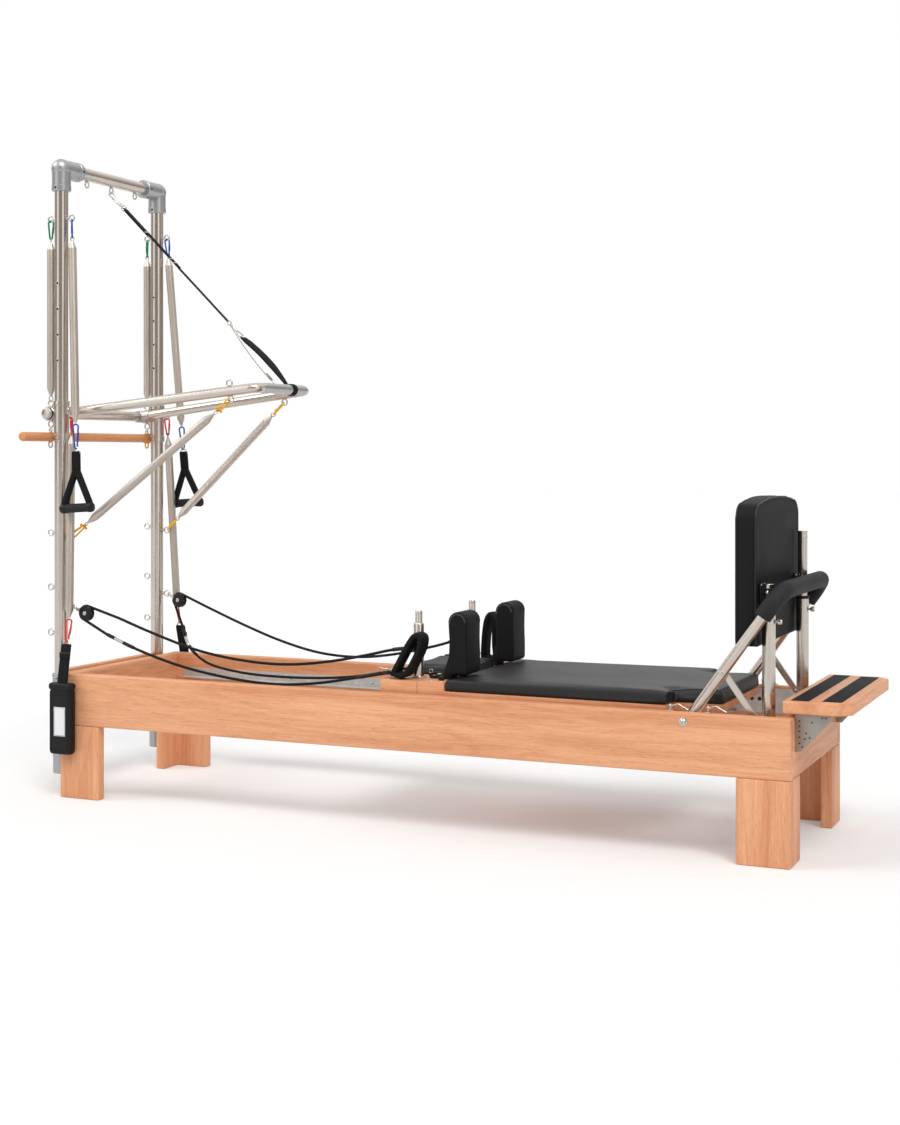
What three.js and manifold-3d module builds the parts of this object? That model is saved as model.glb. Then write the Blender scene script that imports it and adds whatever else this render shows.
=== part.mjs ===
// Pilates reformer with a half tower, a padded jump board and a footbar.
// Millimetres. +X runs from the head end to the foot end, +Y away from the near side, +Z up.
// Every piece is placed from the head end of the frame (x = 0), its middle line (y = 0) and the
// floor (z = 0); the whole unit is then moved so that its origin is the middle of its footprint.
import * as THREE from "three";
import { mergeVertices } from "three/addons/utils/BufferGeometryUtils.js";
import Module from "manifold-3d";

const wasm = await Module();
wasm.setup();

// Clearances and shared small sizes
const seatGap = 0.3;
const cutOverrun = 5;
const weldTolerance = 1e-4;
const eyeRadius = 10;
const eyeWire = 2.6;
const screwRadius = 4;

// Frame
const frameLength = 2400;
const frameWidth = 680;
const legHeight = 237;
const railHeight = 168;
const railThickness = 36;
const crossThickness = 34;
const boardChamfer = 3;
const legSideLength = 150;
const legEndLength = 125;
const legThickness = 34;

// Tracks along the inner faces of the side rails, with the footbar rack at their foot end
const trackStart = 60;
const trackFloor = 321;
const trackHeight = 34;
const trackWall = 4;
const trackShelf = 24;
const shelfThickness = 3.3;
const rackLength = 278;
const rackHeight = 76;

// Footbar
const footbarSetback = 298;
const footbarPivotZ = 380;
const footbarRadius = 448;
const footbarLean = THREE.MathUtils.degToRad(35.5);
const footbarTube = 15;
const footbarBend = 62;
const footbarSideGap = 0.7;
const gripRadius = 25;
const gripLegLength = 86;
const pivotPin = 8;
const strutLength = 165;
const strutWidth = 20;
const strutThickness = 4;
const strutPin = 4;
const strutBoss = 9;
const strutTurn = THREE.MathUtils.degToRad(14);

// Tower
const postX = -40;
const postSpacing = 560;
const postRadius = 22.5;
const postFoot = 67;
const postStop = 26;
const postCapRadius = 27;
const postCapHeight = 63;
const topBarZ = 2066;
const topBarRadius = 21;
const topBarEyeSpacing = 140;
const elbowRadius = 33;
const elbowCollar = 32;
const elbowDrop = 75;
const elbowReach = 92;
const topRingDrop = 166;
const ringReach = 42;
const sideEyeHeights = [860, 680, 530];
const pushEyeZ = 848;
const pulleyEyeZ = 620;
const pinHoleDrops = [636, 551, 466, 381];
const pinHoleRadius = 4;
const clampHeight = 60;
const clampFoot = 335;
const clampWall = 8;
const clampStripThickness = 5;
const towerBoardThickness = 28;
const towerBoardHeight = 105;

// Push-through bar
const pushPivotShare = 0.6075;
const pushPivotReach = 41;
const pushRootSpan = 476;
const pushTipSpan = 330;
const pushLength = 726;
const pushLift = THREE.MathUtils.degToRad(6.3);
const pushTube = 16;
const pushPivotTube = 17;
const pushPivotSpan = 622;
const pushPivotSlack = 0.4;
const pushBend = 34;
const pushEyeFromTip = 96;
const collarWall = 4.5;
const collarHeight = 132;
const collarFootShare = 0.68;
const collarBoss = 24;
const collarBossWidth = 36;

// Springs
const coilRadius = 14;
const coilWire = 3.6;
const coilNeck = 3;
const coilCone = 26;
const coilTurns = 18;
const coilSides = 4;
const tailShare = 0.15;
const stepsPerTurn = 8;
const clipLength = 62;
const clipWidth = 22;
const clipWire = 5;
const frontSpringLean = [40, 34];
const frontSpringDrop = 33;
const legSpringLean = [18, 38];
const legSpringFoot = 584;

// Roll-down bar
const dowelRadius = 15;
const dowelX = -84;
const dowelDrop = 77;
const dowelNear = 430;
const dowelFar = 300;

// Handles and cuffs
const handleClip = 101;
const handleStrap = 66;
const strapWidth = 26;
const strapThickness = 5;
const handleDrop = 113;
const handleGripLength = 124;
const handleGripRadius = 15;
const webRadius = 6;
const cuffClip = 92;
const cuffStrap = 112;
const cuffWidth = 88;
const cuffThickness = 34;
const cuffHeight = 236;
const cuffCorner = 9;
const cuffOffset = 6;
const cuffDrop = 0.9;

// Pulleys and ropes
const sheaveX = 58;
const sheaveY = 276;
const sheaveZ = 598;
const sheaveRadius = 26;
const sheaveGroove = 17.5;
const sheaveWidth = 16;
const sheaveLip = 1.6;
const sheaveGrooveWidth = 6;
const ropeSlack = 1.7;
const sheaveBore = 4.3;
const sheaveAxle = 4;
const cheekThickness = 3;
const cheekArmShare = 0.4;
const cheekRadius = 17;
const yokeRadius = 4;
const ropeRadius = 4.5;
const ropeSeat = 1.7;

// Safety strap
const safetyWidth = 25;
const safetyThickness = 4;
const safetyPadWidth = 58;
const safetyPadThickness = 9;
const safetyPadLength = 215;
const safetyTipY = 55;

// Carriage
const carriageStop = 215;
const matLength = 690;
const matWidth = 576;
const tongueLength = 145;
const tongueWidth = 430;
const deckBottom = 392;
const deckThickness = 22;
const deckInset = 6;
const platformLength = 210;
const platformThickness = 48;
const matThickness = 38;
const matCrown = 5;
const matEdge = 9;
const matFootShare = 0.7;
const matMiddleShares = [[0.25, 0.8], [0.55, 1], [0.85, 0.9], [0.97, 0.75]];
const wheelRadius = 24;
const wheelWidth = 16;
const wheelSideGap = 1.3;
const wheelAxle = 6;
const wheelSetback = 75;
const wheelHangerY = 236;
const wheelHangerWidth = 18;
const wheelHangerLength = 40;
const springHangerSetback = 340;
const springHangerSize = 20;
const riserSetback = 118;
const riserY = 205;
const riserRadius = 12;
const riserBaseRadius = 21;
const riserBaseHeight = 4;
const riserNeckRadius = 8.5;
const riserHeight = 165;
const riserNeckHeight = 38;
const cleatSize = 22;
const headrestLength = 200;
const headrestWidth = 255;
const headrestThickness = 26;
const headrestCrown = 5;
const headrestEdge = 8;
const restOverlap = 6;
const restY = 185;
const restWidth = 112;
const restDepth = 62;
const restHeight = 192;
const restPlateWidth = 46;
const restPlateReach = 74;
const restPegSetback = 52;
const restBuriedShare = 0.3;
const restSkirtShares = [0.12, 0.3, 0.4];
const restPlateThickness = 5;
const restPegRadius = 6;
const restPegDepth = 18;

// Spring bar, jump board and standing plate
const springBarSetback = 134;
const springBarThickness = 8;
const springBarHeight = 28;
const springBarZ = 300;
const boardSetback = 142;
const boardThickness = 64;
const boardWidth = 534;
const boardFoot = 585;
const boardHeight = 392;
const boardArch = 24;
const boardCorner = 44;
const boardCrown = 4;
const boardFootInset = 8;
const boardEdgeShare = 0.05;
const boardSqueezeShare = 0.78;
const boardRowShares = [0, 0.01, 0.04, 0.12, 0.3, 0.55, 0.78, 0.9, 0.97, 1];
const socketSetback = 88;
const socketSpacing = 430;
const socketRadius = 18.5;
const socketFoot = 262;
const socketTop = 690;
const socketBarHeight = 40;
const socketBarZ = 300;
const stemRadius = 14.2;
const stemFoot = 560;
const stemNearTop = 760;
const stemFarTop = 890;
const stemPlateHeight = 46;
const stemPlateZ = 704;
const plateLength = 185;
const plateWidth = 620;
const plateThickness = 34;
const plateOverlap = 28;
const plateRise = 11;
const plateChamfer = 34;
const gussetDrop = 106;
const gussetReach = 96;
const gussetThickness = 5;
const gussetSpacing = 560;
const gussetFlange = 34;

// Derived places
const postTop = topBarZ - postStop;
const topRingZ = topBarZ - topRingDrop;
const pushPivotZ = Math.round(topBarZ * pushPivotShare);
const dowelZ = pushPivotZ - dowelDrop;
const frontSpringFoot = pushPivotZ - frontSpringDrop;
const footbarPivotX = frameLength - footbarSetback;
const springBarX = frameLength - springBarSetback;
const boardX = frameLength - boardSetback;
const socketX = frameLength - socketSetback;
const plateStart = frameLength - plateOverlap;
const matX = frameLength - carriageStop - tongueLength - matLength;
const springHangerX = matX + springHangerSetback;
const riserX = matX - riserSetback;
const restX = matX - restOverlap;
const railTop = legHeight + railHeight;
const halfWidth = frameWidth / 2;
const railInner = halfWidth - railThickness;
const postY = postSpacing / 2;
const sides = { near: -1, far: 1 };

// Finishes
const beech = { color: 0xe8a076, roughness: 0.5, metalness: 0 };
const oiledDowel = { color: 0xd9925a, roughness: 0.45, metalness: 0 };
const stainless = { color: 0xb3a99f, roughness: 0.3, metalness: 1 };
const castMetal = { color: 0x9a9da1, roughness: 0.45, metalness: 0.9 };
const springSteel = { color: 0xb8aea4, roughness: 0.28, metalness: 1 };
const aluminium = { color: 0xc4c6c8, roughness: 0.4, metalness: 1 };
const upholstery = { color: 0x2a2b2d, roughness: 0.55, metalness: 0 };
const blackFoam = { color: 0x242527, roughness: 0.8, metalness: 0 };
const webbing = { color: 0x141415, roughness: 0.85, metalness: 0 };
const blackPlastic = { color: 0x1b1b1d, roughness: 0.4, metalness: 0 };

// Geometry helpers

// Welds the corners of a closed surface and drops triangles without area.
function weld(geometry) {
  const bare = geometry.clone();
  for (const name of ["normal", "uv"]) {
    bare.deleteAttribute(name);
  }
  const welded = mergeVertices(bare, weldTolerance);
  const index = welded.getIndex().array;
  const kept = [];
  for (let i = 0; i < index.length; i += 3) {
    const [a, b, c] = [index[i], index[i + 1], index[i + 2]];
    if (a !== b && b !== c && c !== a) {
      kept.push(a, b, c);
    }
  }
  welded.setIndex(kept);
  return welded;
}

function toSolid(geometry) {
  const welded = weld(geometry);
  return new wasm.Manifold(new wasm.Mesh({
    numProp: 3,
    vertProperties: new Float32Array(welded.getAttribute("position").array),
    triVerts: new Uint32Array(welded.getIndex().array),
  }));
}

function fromSolid(solid) {
  const mesh = solid.getMesh();
  const geometry = new THREE.BufferGeometry();
  geometry.setAttribute("position", new THREE.BufferAttribute(mesh.vertProperties, 3));
  geometry.setIndex(new THREE.BufferAttribute(mesh.triVerts, 1));
  return geometry;
}

// Joins the first list of closed surfaces and cuts the second list out of the result.
function combine(joined, cut = []) {
  let solid = toSolid(joined[0]);
  for (const geometry of joined.slice(1)) {
    solid = solid.add(toSolid(geometry));
  }
  for (const geometry of cut) {
    solid = solid.subtract(toSolid(geometry));
  }
  return fromSolid(solid);
}

function outline(points) {
  return new THREE.Shape(points.map(([a, b]) => new THREE.Vector2(a, b)));
}

function prism(points, depth) {
  return new THREE.ExtrudeGeometry(outline(points), { depth, bevelEnabled: false });
}

// Prisms along one axis: points are (y, z), (x, z) and (x, y) pairs.
function prismX(points, x0, x1) {
  const turn = new THREE.Matrix4().makeBasis(
    new THREE.Vector3(0, 1, 0), new THREE.Vector3(0, 0, 1), new THREE.Vector3(1, 0, 0));
  return prism(points, x1 - x0).applyMatrix4(turn).translate(x0, 0, 0);
}

function prismY(points, y0, y1) {
  const turn = new THREE.Matrix4().makeBasis(
    new THREE.Vector3(0, 0, 1), new THREE.Vector3(1, 0, 0), new THREE.Vector3(0, 1, 0));
  const swapped = points.map(([x, z]) => [z, x]);
  return prism(swapped, y1 - y0).applyMatrix4(turn).translate(0, y0, 0);
}

function prismZ(points, z0, z1) {
  return prism(points, z1 - z0).translate(0, 0, z0);
}

function rectangle(a0, a1, b0, b1) {
  return [[a0, b0], [a1, b0], [a1, b1], [a0, b1]];
}

function chamfered(a0, a1, b0, b1, c) {
  return [[a0 + c, b0], [a1 - c, b0], [a1, b0 + c], [a1, b1 - c],
    [a1 - c, b1], [a0 + c, b1], [a0, b1 - c], [a0, b0 + c]];
}

function box(x0, x1, y0, y1, z0, z1) {
  return prismZ(rectangle(x0, x1, y0, y1), z0, z1);
}

const axisTurn = {
  x: new THREE.Matrix4().makeRotationZ(-Math.PI / 2),
  y: new THREE.Matrix4(),
  z: new THREE.Matrix4().makeRotationX(Math.PI / 2),
};

// A round bar along an axis, from one place on it to another.
function rod(axis, radius, from, to, [a, b], segments = 16) {
  const length = Math.abs(to - from);
  const middle = (from + to) / 2;
  const place = { x: [middle, a, b], y: [a, middle, b], z: [a, b, middle] }[axis];
  return new THREE.CylinderGeometry(radius, radius, length, segments)
    .applyMatrix4(axisTurn[axis]).translate(...place);
}

// A solid of revolution about local Z; profile points are (radius, z).
function turned(profile, segments = 14) {
  return new THREE.LatheGeometry(profile.map(([r, z]) => new THREE.Vector2(r, z)), segments)
    .applyMatrix4(axisTurn.z);
}

// A wire ring; axis is the way its hole looks.
function eye(axis, x, y, z, radius = eyeRadius) {
  const torus = new THREE.TorusGeometry(radius, eyeWire, 4, 8);
  if (axis === "y") {
    torus.rotateX(Math.PI / 2);
  }
  if (axis === "x") {
    torus.rotateY(Math.PI / 2);
  }
  return torus.translate(x, y, z);
}

// A path through chosen points, with one section of an extrusion at each of them.
class Route extends THREE.Curve {
  constructor(points) {
    super();
    this.points = points;
  }

  getPoint(t) {
    const place = t * (this.points.length - 1);
    const index = Math.min(Math.floor(place), this.points.length - 2);
    return this.points[index].clone().lerp(this.points[index + 1], place - index);
  }

  getPointAt(t) {
    return this.getPoint(t);
  }

  getTangentAt(t) {
    const last = this.points.length - 1;
    const index = Math.round(t * last);
    const before = this.points[Math.max(index - 1, 0)];
    const after = this.points[Math.min(index + 1, last)];
    return after.clone().sub(before).normalize();
  }
}

function roundSection(radius, count) {
  const section = [];
  for (let i = 0; i < count; i += 1) {
    const angle = (2 * Math.PI * i) / count;
    section.push([radius * Math.cos(angle), radius * Math.sin(angle)]);
  }
  return section;
}

function tube(points, radius, count = 12) {
  return new THREE.ExtrudeGeometry(outline(roundSection(radius, count)), {
    steps: points.length - 1,
    extrudePath: new Route(points),
    bevelEnabled: false,
  });
}

// Points of a path with each inner corner rounded by an arc of the given radius.
function rounded(corners, radius, arcSteps = 4) {
  const points = [corners[0]];
  for (let i = 1; i < corners.length - 1; i += 1) {
    const back = corners[i - 1].clone().sub(corners[i]).normalize();
    const ahead = corners[i + 1].clone().sub(corners[i]).normalize();
    const half = back.angleTo(ahead) / 2;
    const reach = radius / Math.tan(half);
    const middle = back.clone().add(ahead).normalize();
    const centre = corners[i].clone().addScaledVector(middle, radius / Math.sin(half));
    const start = corners[i].clone().addScaledVector(back, reach).sub(centre);
    const end = corners[i].clone().addScaledVector(ahead, reach).sub(centre);
    const sweep = start.angleTo(end);
    for (let k = 0; k <= arcSteps; k += 1) {
      const share = k / arcSteps;
      const a = Math.sin((1 - share) * sweep) / Math.sin(sweep);
      const b = Math.sin(share * sweep) / Math.sin(sweep);
      points.push(centre.clone().addScaledVector(start, a).addScaledVector(end, b));
    }
  }
  points.push(corners[corners.length - 1]);
  return points;
}

// A closed surface through rings of equally many points, with a fan over each end.
function loft(rings) {
  const count = rings[0].length;
  const positions = rings.flat().flatMap((point) => point.toArray());
  const index = [];
  for (let r = 0; r < rings.length - 1; r += 1) {
    for (let i = 0; i < count; i += 1) {
      const next = (i + 1) % count;
      const [a, b] = [r * count + i, r * count + next];
      index.push(a, b, b + count, a, b + count, a + count);
    }
  }
  for (const [ring, flip] of [[0, true], [rings.length - 1, false]]) {
    const centre = new THREE.Vector3();
    rings[ring].forEach((point) => centre.addScaledVector(point, 1 / count));
    const middle = positions.length / 3;
    positions.push(...centre.toArray());
    for (let i = 0; i < count; i += 1) {
      const [a, b] = [ring * count + i, ring * count + ((i + 1) % count)];
      index.push(middle, flip ? b : a, flip ? a : b);
    }
  }
  const geometry = new THREE.BufferGeometry();
  geometry.setAttribute("position", new THREE.Float32BufferAttribute(positions, 3));
  geometry.setIndex(index);
  return facingOut(geometry);
}

// Turns a closed surface the right way round when its volume comes out negative.
function facingOut(geometry) {
  const position = geometry.getAttribute("position");
  const index = geometry.getIndex().array;
  const corner = [new THREE.Vector3(), new THREE.Vector3(), new THREE.Vector3()];
  let volume = 0;
  for (let i = 0; i < index.length; i += 3) {
    corner.forEach((point, k) => point.fromBufferAttribute(position, index[i + k]));
    volume += corner[0].dot(corner[1].clone().cross(corner[2]));
  }
  if (volume < 0) {
    const flipped = [];
    for (let i = 0; i < index.length; i += 3) {
      flipped.push(index[i], index[i + 2], index[i + 1]);
    }
    geometry.setIndex(flipped);
  }
  return geometry;
}

// Shares of a cushion's half width (first) and of its height (second) round its section: a flat
// base, sides that draw in at their seams, and a top whose crown is a share of the crown height.
const cushionShares = [
  [-0.97, 0, 0], [0, 0, 0], [0.97, 0, 0], [0.995, 0.12, 0], [0.985, 0.5, 0], [1, 0.85, 0],
  [0.975, 0.97, 0.05], [0.93, 1, 0.15], [0.7, 1, 0.55], [0.35, 1, 0.9], [0, 1, 1],
  [-0.35, 1, 0.9], [-0.7, 1, 0.55], [-0.93, 1, 0.15], [-0.975, 0.97, 0.05], [-1, 0.85, 0],
  [-0.985, 0.5, 0], [-0.995, 0.12, 0],
];
// A cushion lying flat with its base at z = 0: rows are [x, half width, crown share, height share].
function cushion(rows, thickness, crown) {
  return loft(rows.map(([x, half, lift, pull = 1]) => cushionShares.map(([across, up, top]) => {
    const z = THREE.MathUtils.lerp(thickness / 2, thickness * up, pull);
    return new THREE.Vector3(x, half * across, z + crown * top * lift);
  })));
}

// Rows of a cushion's end: shares of its edge in from the end and off the half width, then the
// share of the crown and of the height there.
const cushionEndShares = [[0, 0.4, 0, 0.74], [0.25, 0.1, 0, 0.93], [1, 0, 0.3, 1]];
const cushionMiddleShares = [0.25, 0.5, 0.75];

function endRows(x, half, edge) {
  return cushionEndShares.map(([along, across, lift, pull]) => (
    [x + edge * along, half - Math.abs(edge) * across, lift, pull]));
}

// Rows of a cushion between two ends of one width, its ends drawn in and rounded.
function plainRows(x0, x1, half, edge) {
  return [
    ...endRows(x0, half, edge),
    ...cushionMiddleShares.map((share) => [
      THREE.MathUtils.lerp(x0, x1, share), half, Math.sin(Math.PI * share) ** 0.5]),
    ...endRows(x1, half, -edge).reverse(),
  ];
}

const unit = new THREE.Group();

function add(name, geometry, finish, parent = unit) {
  const mesh = new THREE.Mesh(weld(geometry), new THREE.MeshStandardMaterial(finish));
  mesh.geometry.computeVertexNormals();
  mesh.name = name;
  parent.add(mesh);
  return mesh;
}

function group(x, y, z, parent = unit) {
  const made = new THREE.Group();
  made.position.set(x, y, z);
  parent.add(made);
  return made;
}

// Frame of four rails on four L-shaped legs
function addFrame() {
  for (const [side, sign] of Object.entries(sides)) {
    const [inner, outer] = [sign * railInner, sign * halfWidth];
    const section = chamfered(Math.min(inner, outer), Math.max(inner, outer), legHeight, railTop,
      boardChamfer);
    add(`side_rail_${side}`, prismX(section, 0, frameLength), beech);
    for (const [end, x, along] of [["head", 0, 1], ["foot", frameLength, -1]]) {
      const corner = [
        [x, outer],
        [x + along * legSideLength, outer],
        [x + along * legSideLength, outer - sign * legThickness],
        [x + along * legThickness, outer - sign * legThickness],
        [x + along * legThickness, outer - sign * legEndLength],
        [x, outer - sign * legEndLength],
      ];
      add(`leg_${end}_${side}`, prismZ(corner, 0, legHeight - seatGap), beech);
    }
  }
  const span = railInner - seatGap;
  const section = (x0) => chamfered(x0, x0 + crossThickness, legHeight, railTop, boardChamfer);
  add("head_rail", prismY(section(0), -span, span), beech);
  add("foot_rail", prismY(section(frameLength - crossThickness), -span, span), beech);
}

// Aluminium tracks; the last stretch is the taller rack with the footbar's pivot and slot
function addTracks() {
  const rackStart = frameLength - crossThickness - rackLength;
  const rackEnd = frameLength - crossThickness - seatGap;
  const web = [
    [trackStart, trackFloor],
    [rackEnd, trackFloor],
    [rackEnd, trackFloor + rackHeight],
    [rackStart, trackFloor + rackHeight],
    [rackStart, trackFloor + trackHeight],
    [trackStart, trackFloor + trackHeight],
  ];
  const reach = footbarPivotX + 2 * strutLength * Math.sin(footbarLean + strutTurn);
  const slotRadius = strutPin + seatGap;
  const slotStart = footbarPivotX + 2 * strutLength * Math.sin(footbarLean);
  const slot = rectangle(slotStart, reach, footbarPivotZ - slotRadius, footbarPivotZ + slotRadius);
  for (const [side, sign] of Object.entries(sides)) {
    const wall = sign * (railInner - seatGap);
    const face = wall - sign * trackWall;
    const lip = wall - sign * trackShelf;
    const [y0, y1] = [Math.min(wall, face), Math.max(wall, face)];
    const shelf = box(trackStart, rackStart, Math.min(wall, lip), Math.max(wall, lip),
      trackFloor, trackFloor + shelfThickness);
    const pivotHole = rod("y", pivotPin + seatGap, y0 - cutOverrun, y1 + cutOverrun,
      [footbarPivotX, footbarPivotZ]);
    const slotEnds = [slotStart, reach].map((x) => rod("y", slotRadius, y0 - cutOverrun,
      y1 + cutOverrun, [x, footbarPivotZ]));
    add(`track_${side}`, combine([prismY(web, y0, y1), shelf],
      [pivotHole, prismY(slot, y0 - cutOverrun, y1 + cutOverrun), ...slotEnds]), aluminium);
  }
}

// Bar across the foot end that the carriage's springs hook onto
function addSpringBar() {
  const span = railInner - 2 * seatGap - trackWall;
  const section = rectangle(springBarX, springBarX + springBarThickness, springBarZ,
    springBarZ + springBarHeight);
  add("spring_bar", prismY(section, -span, span), stainless);
}

// Standing plate past the foot end, on a steel bracket with two gussets
function addStandingPlate() {
  const bottom = railTop + plateRise;
  const end = plateStart + plateLength;
  const half = plateWidth / 2;
  const top = [
    [plateStart, -half],
    [end - plateChamfer, -half],
    [end, -half + plateChamfer],
    [end, half - plateChamfer],
    [end - plateChamfer, half],
    [plateStart, half],
  ];
  add("foot_plate", prismZ(top, bottom, bottom + plateThickness), beech);
  const face = frameLength + seatGap;
  const under = bottom - seatGap;
  const profile = [
    [face, under],
    [face + gussetReach, under],
    [face + gussetReach, under - gussetFlange / 2],
    [face + gussetFlange / 2, under - gussetDrop],
    [face, under - gussetDrop],
  ];
  const gussets = Object.values(sides).map((sign) => {
    const y = (sign * gussetSpacing) / 2;
    return prismY(profile, y - gussetThickness / 2, y + gussetThickness / 2);
  });
  const flange = box(face, face + gussetThickness, -gussetSpacing / 2, gussetSpacing / 2,
    under - gussetFlange, under);
  const shelf = box(face, face + gussetReach, -gussetSpacing / 2, gussetSpacing / 2,
    under - gussetThickness, under);
  add("foot_plate_bracket", combine([...gussets, flange, shelf]), castMetal);
}

// Two posts with a foot cap, ring eyes and pin holes, and the bar across their tops
function addTower() {
  const tower = group(postX, 0, 0);
  for (const [side, sign] of Object.entries(sides)) {
    const y = sign * postY;
    const eyes = [
      [ringReach, topRingZ], [-ringReach, topRingZ], [ringReach, pushEyeZ],
      [ringReach, pulleyEyeZ], ...sideEyeHeights.map((z) => [-ringReach, z]),
    ];
    const stems = eyes.map(([x, z]) => rod("x", eyeWire, 0,
      Math.sign(x) * (Math.abs(x) - eyeRadius), [y, z], 6));
    const rings = eyes.map(([x, z]) => eye("y", x, y, z));
    const holes = pinHoleDrops.map((drop) => rod("y", pinHoleRadius, y - postRadius - cutOverrun,
      y + postRadius + cutOverrun, [0, topBarZ - drop], 6));
    add(`post_${side}`, combine([
      rod("z", postRadius, postFoot, postTop, [0, y]),
      rod("z", postCapRadius, postFoot, postFoot + postCapHeight, [0, y]),
      ...stems,
      ...rings,
    ], holes), stainless, tower);
    const reach = y - sign * elbowReach;
    const domeZ = topBarZ + elbowCollar - elbowRadius;
    const barEnd = y - sign * (postRadius + seatGap);
    add(`elbow_${side}`, combine([
      new THREE.SphereGeometry(elbowRadius, 14, 6).translate(0, y, domeZ),
      rod("z", elbowCollar, topBarZ - elbowDrop, topBarZ, [0, y]),
      rod("y", elbowCollar, y, reach, [0, topBarZ]),
    ], [
      rod("z", postRadius + seatGap, 0, postTop + seatGap, [0, y]),
      rod("y", topBarRadius + seatGap, barEnd + sign * seatGap, reach - sign * cutOverrun,
        [0, topBarZ]),
    ]), castMetal, tower);
  }
  const barHalf = postY - postRadius - seatGap;
  const eyeDrop = topBarZ - topBarRadius - eyeRadius - eyeWire;
  const eyes = [-topBarEyeSpacing, 0, topBarEyeSpacing];
  add("top_bar", combine([
    rod("y", topBarRadius, -barHalf, barHalf, [0, topBarZ]),
    ...eyes.map((y) => eye("x", 0, y, eyeDrop)),
    ...eyes.map((y) => rod("z", eyeWire, eyeDrop + eyeRadius, topBarZ, [0, y], 6)),
  ]), stainless, tower);
}

// Clamps that hold the posts to the head rail, and the board between them
function addTowerBase() {
  const base = group(postX, 0, 0);
  const front = -postX - seatGap;
  const back = -postRadius - clampWall;
  const half = postRadius + clampWall;
  const blocks = Object.values(sides).map((sign) => box(back, front, sign * postY - half,
    sign * postY + half, clampFoot, clampFoot + clampHeight));
  const bores = Object.values(sides).map((sign) => rod("z", postRadius + seatGap,
    clampFoot - cutOverrun, clampFoot + clampHeight + cutOverrun, [0, sign * postY]));
  const strip = box(back, back + clampStripThickness, -postY, postY, clampFoot,
    clampFoot + clampHeight);
  add("tower_clamp", combine([...blocks, strip], bores), castMetal, base);
  const boardBack = back + clampStripThickness + seatGap;
  const span = postY - half - seatGap;
  add("tower_board", box(boardBack, boardBack + towerBoardThickness, -span, span,
    railTop - towerBoardHeight, railTop), beech, base);
}

// Collars on the posts that carry the push bar, the roll-down bar and the leg springs
function addCollars() {
  const collars = group(postX, 0, pushPivotZ);
  const collarFoot = collarHeight * collarFootShare;
  for (const [side, sign] of Object.entries(sides)) {
    const y = sign * postY;
    const bossEye = collarBoss + eyeRadius;
    add(`pivot_collar_${side}`, combine([
      rod("z", postRadius + collarWall, -collarFoot, collarHeight - collarFoot, [0, y]),
      rod("y", collarBoss, y - collarBossWidth / 2, y + collarBossWidth / 2, [-pushPivotReach, 0]),
      eye("y", -ringReach, y, bossEye),
      eye("y", -ringReach, y, -bossEye),
      eye("y", ringReach, y, 0),
      rod("x", eyeWire, 0, ringReach - eyeRadius, [y, 0], 6),
    ], [
      rod("z", postRadius + seatGap, -collarHeight, collarHeight, [0, y]),
      rod("y", pushPivotTube + pushPivotSlack + seatGap, y - collarBossWidth,
        y + collarBossWidth, [-pushPivotReach, 0]),
    ]), castMetal, collars);
  }
}

// Push-through bar, lying in its own XY plane from its pivot and then raised
function addPushBar() {
  const pivot = group(postX - pushPivotReach, 0, pushPivotZ);
  pivot.rotation.y = -pushLift;
  const corner = (x, y) => new THREE.Vector3(x, y, 0);
  const frame = rounded([
    corner(0, -pushRootSpan / 2),
    corner(pushLength, -pushTipSpan / 2),
    corner(pushLength, pushTipSpan / 2),
    corner(0, pushRootSpan / 2),
  ], pushBend, 4);
  const eyeX = pushLength - pushEyeFromTip;
  const share = eyeX / pushLength;
  const eyeY = THREE.MathUtils.lerp(pushRootSpan, pushTipSpan, share) / 2;
  const eyeZ = pushTube + eyeRadius;
  const eyes = Object.values(sides).flatMap((sign) => [
    eye("y", eyeX, sign * eyeY, -eyeZ),
    rod("z", eyeWire, -eyeZ + eyeRadius, 0, [eyeX, sign * eyeY], 6),
  ]);
  const ring = [
    eye("y", eyeX, -eyeY, eyeZ),
    rod("z", eyeWire, 0, eyeZ - eyeRadius, [eyeX, -eyeY], 6),
  ];
  add("push_bar", combine([
    tube(frame, pushTube),
    rod("y", pushPivotTube, -pushPivotSpan / 2, pushPivotSpan / 2, [0, 0]),
    ...eyes,
    ...ring,
  ]), stainless, pivot);
  pivot.updateMatrixWorld(true);
  return Object.values(sides).map((sign) => pivot.localToWorld(
    new THREE.Vector3(eyeX, sign * eyeY, -eyeZ)));
}

// A snap clip: an oblong ring of flat wire, hanging down from the local origin
function clip(length) {
  const half = clipWidth / 2;
  const ends = 4;
  const ring = (inset) => {
    const points = [];
    for (let i = 0; i <= ends; i += 1) {
      const angle = (Math.PI * i) / ends;
      const radius = half - inset;
      points.push([radius * Math.cos(angle), -half + radius * Math.sin(angle)]);
    }
    for (let i = 0; i <= ends; i += 1) {
      const angle = Math.PI + (Math.PI * i) / ends;
      const radius = half - inset;
      points.push([radius * Math.cos(angle), half - length + radius * Math.sin(angle)]);
    }
    return points;
  };
  return combine([prismY(ring(0), -clipWire / 2, clipWire / 2)],
    [prismY(ring(clipWire), -clipWire, clipWire)]);
}

// Tightly wound spring hanging from the local origin: its coil with a cone at each end
function closedCoil(from, to) {
  const top = -from;
  const bottom = -to;
  return turned([
    [0, bottom], [coilNeck, bottom], [coilNeck, bottom + coilNeck],
    [coilRadius, bottom + coilCone], [coilRadius, top - coilCone],
    [coilNeck, top - coilNeck], [coilNeck, top], [0, top],
  ], 10);
}

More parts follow.
